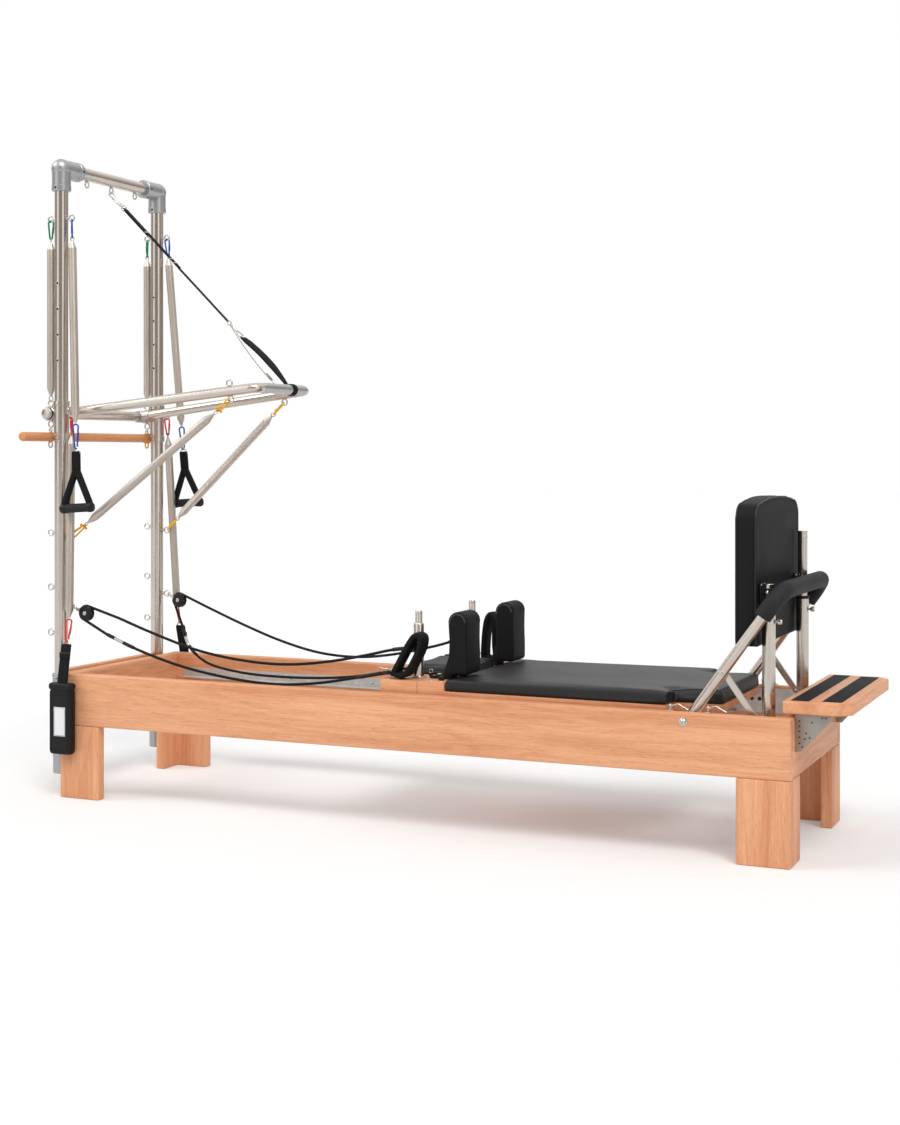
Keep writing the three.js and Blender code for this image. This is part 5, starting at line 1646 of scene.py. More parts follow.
    @staticmethod
    def buckles(line: StrapLine, length: float) -> Form:
        """Hook, slides, buckle and cable of a strap of a length."""
        spot, way, side = line.spot, line.way, line.side
        steel = Form()
        snap_hook(steel, spot(56), spot(-9), side, 17, 2.2, 0.7)
        steel.rod(spot(50), spot(62), 4.2, edge=0.6)
        steel.ring(spot(70), side, 9, 1.9)
        for at in (196, 330, 350):
            steel.block((-14, -2.2, -2), (14, 2.2, 2), 0.8,
                        place=aimed(spot(at, 0, 2.4), way, side))
        steel.rod(spot(length - 300), spot(length - 262), 3.4, sides=20, edge=0.8)
        steel.sweep(rounded_path([spot(length - 236, -22), spot(length - 236, 22),
                                  spot(length - 262, 9), spot(length - 262, -9),
                                  spot(length - 236, -22), spot(length - 236, 22)], 6, 5)[6:-1],
                    round_bar(2.2, 12), closed=True)
        steel.ring(spot(length - 306), side, 7, 1.8)
        cable = [spot(length - 300, 3, -4), spot(length - 200, -12, -15),
                 spot(length - 90, -24, -20), spot(length - 24, -32, -16),
                 spot(length + 1, -36, -8)]
        steel.sweep(smooth_path(cable, 30), round_bar(1.6, 10))
        return steel.block((-8, -3, -16), (8, 3, 16), 1.5,
                           place=aimed(spot(length - 62, -24, -18), way, side))

    @staticmethod
    def webbing(line: StrapLine, length: float) -> Form:
        """Bands of a strap of a length, the last of them padded."""
        spot, side = line.spot, line.side
        band = Form()
        for start, end, out, count, width, depth in (
                (72, 372, 1.8, 75, 24, 2.4), (80, 212, -1.6, 33, 24, 2.2),
                (372, length - 312, 0, 40, 17, 2.6)):
            band.sweep(straight_path(spot(start, 0, out), spot(end, 0, out), count),
                       Section(width, depth, 20, 0.35), side=side, mapped=True)
        wide = []
        for k in range(61):
            t = k / 60
            bow = math.sin(math.pi * t) * 9
            wide.append(spot(length - 232 + 233 * t, 0, bow))
        return band.sweep(
            wide, Section(50, 7.5, 32, 0.42), side=side, mapped=True,
            sizes=lambda t: 0.4 + 0.6 * min(1.0, 0.5 + t * 5, (1 - t) * 2.6) ** 0.8)

    def build(self) -> None:
        """Builds the bar with what hangs on it."""
        self.bar()
        self.sleeves()
        self.rings()
        self.springs()
        self.strap()


@dataclass
class Cushion:
    """Padding filled by pressure inside its cover.

    Attributes:
        voxel: Size of the cover's mesh before it is divided, in millimetres.
        swell: Farthest that the cover may move, in millimetres.
        pressure: Pressure of the filling.
        frames: Steps of the filling.
    """

    voxel: float = 6.0
    swell: float = 5.0
    pressure: float = 4.0
    frames: int = 20

    def fill(self, name: str, form: Form, held: Callable[[Vector], bool]) -> bpy.types.Object:
        """Fills a cover.

        Args:
            name: Name of the piece.
            form: Shape of the empty cover.
            held: Whether the cover is held at a place, in the frame's metres.

        Returns:
            The filled piece.
        """
        made = form.bare(name)
        grid = made.modifiers.new("grid", "REMESH")
        grid.mode = "VOXEL"
        grid.voxel_size = self.voxel * METRE
        self._apply(made)
        self._inflate(made, held)
        smooth = made.modifiers.new("smooth", "SUBSURF")
        smooth.levels = smooth.render_levels = 1
        self._apply(made)
        for face in made.data.polygons:
            face.use_smooth = True
        return made

    @staticmethod
    def _apply(made: bpy.types.Object) -> None:
        """Makes the object's mesh what its modifiers show."""
        graph = bpy.context.evaluated_depsgraph_get()
        mesh = bpy.data.meshes.new_from_object(made.evaluated_get(graph))
        made.modifiers.clear()
        made.data = mesh

    def _inflate(self, made: bpy.types.Object, held: Callable[[Vector], bool]) -> None:
        """Runs the filling and keeps it within the farthest move."""
        pinned = made.vertex_groups.new(name="held")
        fixed = [v.index for v in made.data.vertices if held(v.co)]
        pinned.add(fixed, 1.0, "REPLACE")
        empty = [v.co.copy() for v in made.data.vertices]
        cloth = made.modifiers.new("cover", "CLOTH")
        cover = cloth.settings
        cover.use_pressure = True
        cover.uniform_pressure_force = self.pressure
        cover.effector_weights.gravity = 0
        cover.vertex_group_mass = "held"
        cover.quality = 4
        cover.mass = 0.25
        cover.tension_stiffness = cover.compression_stiffness = 20
        cover.shear_stiffness = 12
        cover.bending_stiffness = 2
        cloth.point_cache.frame_start = 1
        cloth.point_cache.frame_end = self.frames
        scene = bpy.context.scene
        for frame_number in range(1, self.frames + 1):
            scene.frame_set(frame_number)
        self._apply(made)
        scene.frame_set(1)
        most = 0.0
        for v, start in zip(made.data.vertices, empty):
            move = v.co - start
            most = max(most, move.length)
            if move.length > self.swell * METRE:
                v.co = start + move.normalized() * self.swell * METRE
        LOG.info("%s moved up to %.1f mm", made.name, most / METRE)


def surface_of(made: bpy.types.Object) -> BVHTree:
    """Search tree of a piece's surface."""
    return BVHTree.FromObject(made, bpy.context.evaluated_depsgraph_get())


def laid_on(tree: BVHTree, points: Iterable[Vector], lift: float = 0.0) -> list[Vector]:
    """Moves places onto the nearest surface.

    Args:
        tree: Search tree in the frame's metres.
        points: Places in millimetres.
        lift: Distance that they stand off it.

    Returns:
        The moved places in millimetres.
    """
    out = []
    for point in points:
        spot, normal, _, _ = tree.find_nearest((point + ORIGIN) * METRE)
        out.append(spot / METRE - ORIGIN + normal * lift)
    return out


def seam_line(tree: BVHTree, corners: Sequence[Vector], radius: float,
              step: float) -> list[Vector]:
    """Line through rounded corners and back to its start, laid on a surface."""
    line = rounded_path([*corners, corners[0], corners[1]], radius, 4)[6:-1]
    return laid_on(tree, dense_path(line, step), 0.1)


def stitches(form: Form, line: Sequence[Vector], pitch: float = 4.6, thread: float = 0.55,
             closed: bool = False) -> Form:
    """Adds a row of short stitches.

    Args:
        form: Form that takes them.
        line: Places that they follow.
        pitch: Distance from one stitch to the next.
        thread: Radius of the thread.
        closed: Whether the line joins its own start.

    Returns:
        The form.
    """
    line = list(line) + ([line[0]] if closed else [])
    total = path_length(line)
    count = max(2, int(total / pitch))
    marks, walked, k = [], 0.0, 0
    for a, b in zip(line, line[1:]):
        size = (b - a).length
        while k <= count and k * total / count <= walked + size + 1e-6:
            marks.append(a.lerp(b, (k * total / count - walked) / max(size, 1e-9)))
            k += 1
        walked += size
    for a, b in zip(marks, marks[1:]):
        form.rod(a.lerp(b, 0.1), a.lerp(b, 0.78), thread, sides=6)
    return form


def ring_link(form: Form, low: Vector, high: Vector, face: Vector, wire: float) -> Form:
    """Adds an oval link whose middle line passes two places."""
    way = (high - low).normalized()
    centre, half = (low + high) / 2, (high - low).length / 2
    other = way.cross(face).normalized()
    points = [centre + way * half * math.cos(a) + other * half * 0.62 * math.sin(a)
              for a in (2 * math.pi * k / 24 for k in range(24))]
    return form.sweep(points, round_bar(wire, 10), closed=True)


@dataclass
class HangingSprings:
    """Long springs on the posts: back ones, front ones and leg ones."""

    post_x: float = -40.0
    post_y: float = 280.0
    reach: float = 42.0
    top: float = 1900.0
    pivot_z: float = 1255.0
    front_foot: Point = (42, 314, 1222)
    leg_foot: Point = (20, 318, 584)
    radius: float = 14.0
    wire: float = 1.3
    pitch: float = 2.75
    hook: float = 62.0

    def hang(self, name: str, body: str, top: Vector, foot: Vector, paint: str,
             link: str, turn: float, end_ring: Vector | None = None) -> None:
        """Builds one spring with the hook above it.

        Args:
            name: Name of the solid that it replaces.
            body: Body that it rides on.
            top: Middle of the ring that it hangs in.
            foot: Where it ends.
            paint: Finish of the hook.
            link: Finish of the link between the hook and the spring.
            turn: Turn of the hook about the spring.
            end_ring: Middle of the ring that its foot is linked to.
        """
        way = (foot - top).normalized()
        level = Vector((math.cos(turn), math.sin(turn), 0))
        face = (level - way * way.dot(level)).normalized()
        hook, links = Form(), Form()
        narrow = top + way * (self.hook + 3)
        snap_hook(hook, narrow, top + way * 5, face)
        ring_link(links, narrow - way * 4.6, narrow + way * 12, way.cross(face), 1.9)
        start = narrow + way * 8.5
        end = foot
        if end_ring is not None:
            ring_link(links, foot - way * 7, end_ring - way * 6.2, face, 1.9)
            end = foot - way * 3
        coil = Form().coil(start, end, self.radius, self.wire, self.pitch, 27, 3.6)
        Fitting(body, "spring_steel", (name,)).put(coil, f"{name}_coil", "spring")
        Fitting(body).put(hook, f"{name}_hook", paint)
        Fitting(body).put(links, f"{name}_link", link)

    def build(self) -> None:
        """Builds the springs of both posts."""
        for side, sign in SIDES.items():
            y = sign * self.post_y
            back, front = self.post_x - self.reach, self.post_x + self.reach
            back_ring = Vector((back, y, self.pivot_z + 34))
            self.hang(f"back_spring_{side}", "frame", Vector((back, y, self.top)),
                      back_ring + UP * 19, "green", "chrome", sign * math.radians(50), back_ring)
            for kind, z, foot, paint, link, turn in (
                    ("front", self.top, self.front_foot, "blue", "chrome", -38),
                    ("leg", self.pivot_z, self.leg_foot, "red",
                     "yellow" if sign < 0 else "green", -60)):
                name = f"{kind}_spring_{side}"
                self.hang(name, name, Vector((front, y, z)), mirrored(foot, sign), paint, link,
                          sign * math.radians(turn))


@dataclass
class HangingLine:
    """Line that a handle or a cuff hangs on, with its own directions.

    Attributes:
        start: Where the line starts.
        way: The way that it hangs.
        along: The way across it that looks along the object.
        sign: Side that its third direction looks to, or 0 for either.
    """

    start: Vector
    way: Vector
    along: Vector
    sign: int = 0

    def __post_init__(self) -> None:
        """Works out the third direction."""
        self.out = self.way.cross(self.along)
        if self.out.y * self.sign < 0:
            self.out = -self.out

    def spot(self, x: float, down: float, y: float = 0.0) -> Vector:
        """A place by the line."""
        return self.start + self.along * x + self.way * down + self.out * y

    def hook(self, clip: float, tilt: tuple[float, float], width: float) -> Form:
        """Snap hook from the line's start down to a distance."""
        face = (self.along * tilt[0] + self.out * tilt[1]).normalized()
        return snap_hook(Form(), self.spot(0, clip), self.spot(0, 3.4), face, width)

    def ring(self, top: float, narrow: float, foot: float, wide: float,
             corner: float) -> Form:
        """Ring like a D that joins the hook to a strap."""
        corners = [self.spot(-narrow, top), self.spot(-wide, foot), self.spot(wide, foot),
                   self.spot(narrow, top), self.spot(-narrow, top)]
        path = rounded_path(corners, corner, 4)[:-1]
        return Form().sweep(path, round_bar(2.1, 12), closed=True)


@dataclass
class Handle:
    """Handle below a front spring."""

    top: Point = (2, 280, 1900)
    foot: Point = (42, 314, 1222)
    clip: float = 84.0
    strap_start: float = 98.5
    apex: float = 164.5
    grip: float = 277.5
    half: float = 62.0
    grip_radius: float = 14.6

    def build(self) -> None:
        """Builds both handles."""
        for side, sign in SIDES.items():
            start = mirrored(self.foot, sign)
            way = (start - mirrored(self.top, sign)).normalized()
            line = HangingLine(start, way, (ALONG - way * way.x).normalized())
            spot, along = line.spot, line.along
            body = Fitting(f"handle_{side}")
            body.put(line.hook(self.clip, (0.35, 0.94), 23), f"handle_hook_{side}", "blue")
            body.put(line.ring(self.clip - 6.5, 3, self.strap_start + 1.6, 17, 3.2),
                     f"handle_ring_{side}", "chrome")
            web = Form()
            first = self.strap_start - 2.5
            for y in (2.2, -2.2):
                web.sweep(straight_path(spot(0, first, y), spot(0, self.apex + 4, y), 16),
                          Section(31, 4.0, 24, 0.4), side=along, mapped=True)
            web.rod(spot(-15, first, 0), spot(15, first, 0), 4.4, sides=20, edge=1.2)
            low = self.grip
            loop = rounded_path([spot(-3, self.apex - 8), spot(-self.half + 6, low),
                                 spot(self.half - 6, low), spot(3, self.apex - 8)], 13, 7)
            web.sweep(dense_path(loop, 6), Section(19, 22, 24, 0.62), side=along, mapped=True)
            Fitting(f"handle_{side}", "webbing", (f"handle_{side}",)).put(
                web, f"handle_webbing_{side}", "webbing")
            grip = Form()
            grip.rod(spot(-self.half + 15, low), spot(self.half - 15, low), self.grip_radius,
                     sides=40, edge=2.4)
            body.put(grip, f"handle_grip_{side}", "foam")
            caps = Form()
            for way_x in (-1, 1):
                caps.spun([(0, -1), (10, -1), (14.6, 1.4), (16.4, 6), (16.4, 17), (15, 18.5),
                           (0, 18.5)],
                          aimed(spot(way_x * self.half, low), along * -way_x), 32)
            body.put(caps, f"handle_caps_{side}", "plastic")
            rows = Form()
            for way_x in (-1, 1):
                stitches(rows, dense_path([spot(way_x * 12, first + 8, 4.3),
                                           spot(way_x * 12, self.apex - 4, 4.3)], 3))
            for down in (first + 8, self.apex - 4):
                stitches(rows, [spot(-12, down, 4.3), spot(12, down, 4.3)])
            body.put(rows, f"handle_stitches_{side}", "webbing")


@dataclass
class Cuff:
    """Padded cuff below a leg spring, hung outside the rail."""

    top: Point = (20, 318, 583.1)
    foot: Point = (26, 363, 380)
    clip: float = 76.0
    strap_start: float = 90.0
    width: float = 88.0
    depth: float = 34.0
    height: float = 236.0

    def build(self) -> None:
        """Builds both cuffs."""
        for side, sign in SIDES.items():
            start, end = mirrored(self.top, sign), mirrored(self.foot, sign)
            way = (end - start).normalized()
            line = HangingLine(start, way, (ALONG - way * way.x).normalized(), sign)
            body = Fitting(f"cuff_{side}")
            body.put(line.hook(self.clip, (0.5, 0.86), 24), f"cuff_hook_{side}", "red")
            body.put(line.ring(self.clip - 6.5, 4, self.strap_start + 2, 18, 4),
                     f"cuff_ring_{side}", "chrome")
            self.strap(side, line, (end - start).length)
            self.pad(side, sign, end)

    def strap(self, side: str, line: "HangingLine", length: float) -> None:
        """Strap from the ring to the pad, with its slider."""
        web = Form()
        spot, along = line.spot, line.along
        first = self.strap_start - 1.5
        for out in (2.4, -2.4):
            web.sweep(straight_path(spot(0, first, out), spot(0, length + 12, out), 24),
                      Section(36, 3.6, 24, 0.4), side=along, mapped=True)
        web.rod(spot(-17, first), spot(17, first), 4.4, sides=20, edge=1.2)
        web.sweep(straight_path(spot(0, first + 26, 5.2), spot(0, first + 42, 5.2), 8),
                  Section(37, 3.2, 24, 0.4), side=along, mapped=True)
        Fitting(f"cuff_{side}").put(web, f"cuff_strap_{side}", "webbing")
        slider = Form()
        slider.block((-20.5, -2.2, -3), (20.5, 2.2, 3), 1.4, place=aimed(
            spot(0, first + 27, 4.8), spot(0, 1) - spot(0, 0), along))
        Fitting(f"cuff_{side}").put(slider, f"cuff_slider_{side}", "plastic")

    def pad(self, side: str, sign: int, top: Vector) -> None:
        """Folded pad with its bound rim and a blank patch."""
        x, y, z = top
        half, deep = self.width / 2, self.depth / 2
        cover = Form().block((x - half + 1.5, y - deep + 3, z - self.height + 1.5),
                             (x + half - 1.5, y + deep - 3, z - 6), 9, 4)
        pad = Cushion(5.0, 5.0, 3.0).fill(
            f"cuff_pad_{side}", cover,
            lambda co: abs(co.x / METRE - ORIGIN.x - x) > half - 9)
        home = Fitting(f"cuff_{side}", "cuff_padding", (f"cuff_{side}",))
        home.take(pad, "padding")
        ridge = Vector((half - 2.5, 0, 0))
        crest = Vector((x, y + sign * 1.5, z - 14))
        fold = Form().sweep(
            straight_path(crest - ridge, crest + ridge, 24), Section(35, 24, 28, 0.6),
            side=ACROSS, mapped=True,
            sizes=lambda t: 0.86 + 0.14 * min(1.0, min(t, 1 - t) * 14) ** 0.5)
        Fitting(f"cuff_{side}").put(fold, f"cuff_fold_{side}", "padding")
        tree = surface_of(pad)
        self.piping(side, sign, top, tree)
        self.patch(side, sign, top, tree)

    def piping(self, side: str, sign: int, top: Vector, tree: BVHTree) -> None:
        """Bound rims of the pad's two faces."""
        x, y, z = top
        half, deep = self.width / 2, self.depth / 2
        rim = []
        for k in range(120):
            angle = 2 * math.pi * k / 120
            c, s = math.cos(angle), math.sin(angle)
            rim.append(Vector((x + half * 0.93 * math.copysign(abs(c) ** 0.22, c),
                               y + sign * (deep - 5),
                               z - self.height / 2 - 10
                               + (self.height / 2 - 14) * math.copysign(abs(s) ** 0.22, s))))
        seam = Form()
        outer = laid_on(tree, rim, 0.4)
        seam.sweep(outer, round_bar(1.7, 8), closed=True)
        inner = laid_on(tree, [p - ACROSS * 2 * sign * (deep - 5) for p in rim], 0.4)
        seam.sweep(inner, round_bar(1.7, 8), closed=True)
        Fitting(f"cuff_{side}").put(seam, f"cuff_piping_{side}", "padding")

    def patch(self, side: str, sign: int, top: Vector, tree: BVHTree) -> None:
        """Blank patch on the pad, with the stitches round it and round the pad."""
        x, y, z = top
        low, high = z - 174, z - 80
        face = y + sign * self.depth / 2

        def frame_of(half: float, bottom: float, ceiling: float) -> list[Vector]:
            """Upright rectangle in front of the pad."""
            spots = ((-half, bottom), (half, bottom), (half, ceiling), (-half, ceiling),
                     (-half, bottom))
            return dense_path([Vector((x + a, face, b)) for a, b in spots], 4)

        patch = Form()
        grid = [[laid_on(tree, [Vector((x - 22 + 44 * i / 8, face, low + (high - low) * j / 16))],
                         1.0)[0] for j in range(17)] for i in range(9)]
        for row, following in zip(grid, grid[1:]):
            for j in range(16):
                corners = [row[j], following[j], following[j + 1], row[j + 1]]
                patch.bm.faces.new([patch.bm.verts.new(p) for p in corners])
        made = patch.bare(f"cuff_patch_{side}")
        thick = made.modifiers.new("thickness", "SOLIDIFY")
        thick.thickness = 1.4 * METRE
        thick.offset = 0.0
        Fitting(f"cuff_{side}").take(made, "patch")
        edge = laid_on(tree, frame_of(20, low + 2, high - 2), 1.9)
        rows = stitches(Form(), edge, 4.2)
        Fitting(f"cuff_{side}").put(rows, f"cuff_patch_stitches_{side}", "thread")
        border = frame_of(32, z - self.height + 16, z - 40)
        dark = stitches(Form(), laid_on(tree, border, 0.3), 5.2, 0.6)
        Fitting(f"cuff_{side}").put(dark, f"cuff_stitches_{side}", "webbing")


@dataclass
class RollDownBar:
    """Wooden bar behind the posts, hung from the collars' lower eyes."""

    x: float = -84.0
    z: float = 1178.0
    radius: float = 15.0
    near: float = -430.0
    far: float = 300.0
    post_y: float = 280.0
    eye_z: float = 1221.0

    def build(self) -> None:
        """Builds the bar and what it hangs by."""
        bar = Form().rod((self.x, self.near, self.z), (self.x, self.far, self.z), self.radius,
                         sides=44, edge=5)
        Fitting("roll_down_bar", "oiled_dowel", ("roll_down_bar",)).put(bar, "dowel", "dowel")
        steel, hook = Form(), Form()
        for sign in SIDES.values():
            y = sign * self.post_y
            steel.rod((self.x, y, self.z - self.radius - 4), (self.x, y, self.z + 16), 2.6,
                      sides=16)
            for way in (-1, 1):
                steel.rod((self.x, y, self.z + way * (self.radius - 1.2)),
                          (self.x, y, self.z + way * (self.radius + 1.6)), 6.4, sides=6,
                          edge=0.5)
            steel.ring((self.x, y, self.z + 22.6), ACROSS, 5.2, 2.2)
            (hook if sign > 0 else steel).ring((self.x, y, self.z - self.radius - 10), ALONG,
                                               10, 2.6)
            ring_link(steel, Vector((self.x, y, self.z + 23.8)),
                      Vector((self.x + 1, y, self.eye_z - 6.2)), ACROSS, 1.7)
        y = self.post_y
        for off in (-9, 9):
            hook.ring((self.x, y + off, self.z), ACROSS, self.radius + 1.4, 1.9, 40)
        Fitting("roll_down_bar").put(steel, "dowel_hangers", "chrome")
        Fitting("roll_down_bar").put(hook, "dowel_yellow_rings", "yellow")


@dataclass
class Pulleys:
    """Pulleys on the posts that turn the ropes."""

    centre: Point = (58, 276, 598)
    eye: Point = (2, 280, 620)
    rim: float = 26.0
    groove: float = 17.5
    width: float = 16.0
    cheek: float = 22.5

    def build(self) -> None:
        """Builds both pulleys."""
        half = self.width / 2
        for side, sign in SIDES.items():
            centre, eye = mirrored(self.centre, sign), mirrored(self.eye, sign)
            place = aimed(centre, ACROSS, ALONG)
            wheel = Form()
            wheel.spun([(4.4, -half), (self.rim - 0.8, -half), (self.rim, -half + 0.8),
                        (self.rim, -half + 1.6), (22, -4.6), (18.6, -3.2), (self.groove, -1.5),
                        (self.groove, 1.5), (18.6, 3.2), (22, 4.6), (self.rim, half - 1.6),
                        (self.rim, half - 0.8), (self.rim - 0.8, half), (4.4, half),
                        (4.4, -half)], place, 56)
            Fitting(f"sheave_{side}", "cast_fitting", (f"sheave_{side}",)).put(
                wheel, f"pulley_wheel_{side}", "plastic")
            marks = Form()
            for k in range(6):
                turn = 2 * math.pi * k / 6
                spoke = place @ Vector((24 * math.cos(turn), 24 * math.sin(turn), 0))
                for way in (-1, 1):
                    marks.rod(spoke + ACROSS * way * (half - 0.3),
                              spoke + ACROSS * way * (half + 0.06), 0.9, sides=12)
            Fitting(f"sheave_{side}").put(marks, f"pulley_marks_{side}", "chrome")
            cheeks, steel = Form(), Form()
            way_out = (eye - centre).normalized()
            inner = centre + way_out * 32.7
            for way in (-1, 1):
                cheeks.spun([(0, half + 0.3), (self.cheek - 1.5, half + 0.3),
                             (self.cheek, half + 1.2), (self.cheek - 1, half + 2.8),
                             (12.5, half + 4.2), (11.5, half + 3.4), (0, half + 3.4)],
                            aimed(centre, ACROSS * way), 48)
                steel.spun([(0, half + 7.4), (4.6, half + 7.4), (6.6, half + 6.4),
                            (7.6, half + 5.2), (8.4, half + 3.6), (8.4, half + 3.2),
                            (0, half + 3.2)], aimed(centre, ACROSS * way), 6)
                plate = inner + ACROSS * way * (half + 2.2)
                steel.sweep([centre.lerp(inner, 0.66) + ACROSS * way * (half + 2.2),
                             plate], Section(7, 3, 12, 0.4), side=way_out.cross(ACROSS))
            steel.rod(centre - ACROSS * (half + 3), centre + ACROSS * (half + 3), 3.9)
            steel.rod(inner - ACROSS * (half + 3.4), inner + ACROSS * (half + 3.4), 3.6,
                      sides=20, edge=0.8)
            link = eye - way_out * 9.6
            steel.rod(inner, link - way_out * 7.4, 3.2, sides=16)
            ring_link(steel, link - way_out * 8.6, link + way_out * 3.6, ALONG.cross(way_out),
                      2.2)
            Fitting("frame", "black_plastic", (f"pulley_block_{side}",)).put(
                cheeks, f"pulley_cheeks_{side}", "plastic")
            Fitting("frame").put(steel, f"pulley_steel_{side}", "chrome")


@dataclass
class Carriage:
    """Carriage with its wheels, risers, cleats, loops and spring."""

    top: float = 440.0
    half: float = 282.0
    joint: float = 1262.0
    riser_x: float = 1232.0
    riser_y: float = 205.0
    cleat: Point = (1151, 200, 451)
    screws: tuple[tuple[float, float], ...] = ((1160, 262), (1332, 262), (1300, 262), (1180, 176))
    wheels: tuple[tuple[str, float], ...] = (("wheelset_head", 1215), ("wheelset_foot", 1965))
    wheel_z: float = 348.6
    wheel_out: float = 298.4
    tail: tuple[Point, ...] = ((-52, 0, -1), (-38, -4, -4.5), (0, -8, -5), (30, -16, -5.5))

    def timber(self) -> None:
        """Deck and head platform with their joint and screws."""
        Fitting("carriage", "beech", ("carriage_deck",)).put(
            Form().copied("carriage_deck", 1.6, 2), "carriage_timber", "deck_wood")
        line = Form()
        for sign in SIDES.values():
            y = sign * self.half
            line.block((self.joint - 0.35, y - 0.5, 394), (self.joint + 0.35, y + 0.12, 438.6))
        line.block((self.joint - 0.35, -self.half + 1.6, self.top - 0.5),
                   (self.joint + 0.35, self.half - 1.6, self.top + 0.08))
        Fitting("carriage").put(line, "platform_joint", "hole")
        steel, black = Form(), Form()
        for sign in SIDES.values():
            for x, y in self.screws:
                steel.screw((x, sign * y, self.top), UP, 4.6, 1.6)
            steel.spun([(0, 1.2), (3, 1.2), (3.2, 2.2), (10, 2), (11.5, 0), (0, 0)],
                       aimed((1188, sign * 236, self.top), UP), 32)
            for x, y, neck, r in ((1322, 236, 7, 9.6), (1258, 172, 5, 6.6)):
                black.spun([(0, 13), (neck, 12.6), (r, 10), (r, 3), (neck, 1), (neck, -0.5),
                            (0, -0.5)], aimed((x, sign * y, self.top), UP), 28)
            steel.ring((1258, sign * 172, self.top + 17), ACROSS, 6, 1.4)
        Fitting("carriage").put(steel, "platform_screws", "chrome")
        Fitting("carriage").put(black, "platform_knobs", "plastic")

    def cleats(self) -> None:
        """Black housings over the cleats that hold the ropes."""
        x, y, z = self.cleat
        black, steel = Form(), Form()
        for sign in SIDES.values():
            black.block((x - 12.4, sign * y - 13, self.top - 0.1),
                        (x + 13, sign * y + 13, z + 12.6), 3.4, 3)
            black.block((x + 2, sign * y - 7, z + 8), (x + 30, sign * y + 7, z + 17), 3, 2)
            steel.screw((x, sign * y, z + 12.5), UP, 4.4, 1.8)
            steel.ring((x + 20, sign * (y - 16), self.top + 8), ALONG, 7, 1.7)
        Fitting("carriage").put(black, "rope_cleats", "plastic")
        Fitting("carriage").put(steel, "cleat_screws", "chrome")

    def risers(self) -> None:
        """Stepped risers that lead the ropes up."""
        for side, sign in SIDES.items():
            place = aimed((self.riser_x, sign * self.riser_y, self.top + 0.3), UP)
            tube = Form().spun([(0, 0), (24, 0), (24, 2.6), (22.6, 4), (16.8, 4.2), (16, 5.4),
                                (16, 163.6), (15.2, 165), (11.6, 165), (11, 166), (11, 201.4),
                                (10, 203), (0, 203)], place, 44)
            Fitting("carriage", "tube_steel", (f"riser_{side}",)).put(
                tube, f"riser_tube_{side}", "tube_z")
            rings = Form()
            rings.spun([(16, 96), (17.4, 96.6), (17.4, 109.4), (16, 110)], place, 40)
            rings.spun([(11, 196), (11.6, 196.5), (11.6, 198.5), (11, 199)], place, 32)
            for angle in (0.6, 2.7, 4.8):
                rings.screw(place @ Vector((20 * math.cos(angle), 20 * math.sin(angle), 3.6)),
                            UP, 2.4, 1)
            Fitting("carriage").put(rings, f"riser_rings_{side}", "chrome")
            clip = Form().spun([(16.2, 78), (18.4, 79), (18.4, 101), (16.2, 102), (16.2, 78)],
                               place, 36)
            Fitting("carriage").put(clip, f"riser_rope_clip_{side}", "plastic")

    def rolling(self) -> None:
        """Wheels with their axles."""
        for name, x in self.wheels:
            tyres, steel = Form(), Form()
            for sign in SIDES.values():
                place = aimed((x, sign * (self.wheel_out - 16), self.wheel_z),
                              outward(sign))
                tyres.spun([(6.2, 0), (20, 0), (22.6, 0.6), (24, 2), (24, 6), (23, 8), (24, 10),
                            (24, 14), (22.6, 15.4), (20, 16), (18, 14.6), (9.4, 14.6),
                            (6.2, 16), (6.2, 0)], place, 44)
                for k in range(5):
                    turn = 2 * math.pi * k / 5
                    tyres.rod(place @ Vector((14 * math.cos(turn), 14 * math.sin(turn), 14)),
                              place @ Vector((14 * math.cos(turn), 14 * math.sin(turn), 15.4)),
                              2.6, sides=16, edge=0.4)
                steel.spun([(0, -3), (7.6, -3), (8.6, -2), (8.6, 0), (6, 0.2), (6, 15),
                            (5.2, 16), (0, 16)], place, 28)
            steel.rod((x, -self.wheel_out + 14, self.wheel_z),
                      (x, self.wheel_out - 14, self.wheel_z), 5.9, sides=28)
            Fitting(name, "black_plastic", (name,)).put(tyres, f"{name}_tyres", "plastic")
            Fitting(name).put(steel, f"{name}_axle", "chrome")

    def spring(self) -> None:
        """Spring below the carriage with its hooks."""
        home = start, end = Vector((2265.4, 0, 314)), Vector((1710.6, 0, 314))
        coil = Form().coil(start, end, 14, 1.7, 3.6, 26, 4)
        Fitting(("frame", "carriage"), "spring_steel", ("carriage_spring",), home).put(
            coil, "carriage_coil", "spring")
        steel = Form()
        for y in (-13, 10):
            steel.block((1686, y, 300), (1714, y + 3, 330), 1)
        steel.rod((1706, -14, 314), (1706, 14, 314), 3.2, sides=20, edge=0.6)
        Fitting("carriage").put(steel, "spring_hanger_plates", "chrome")

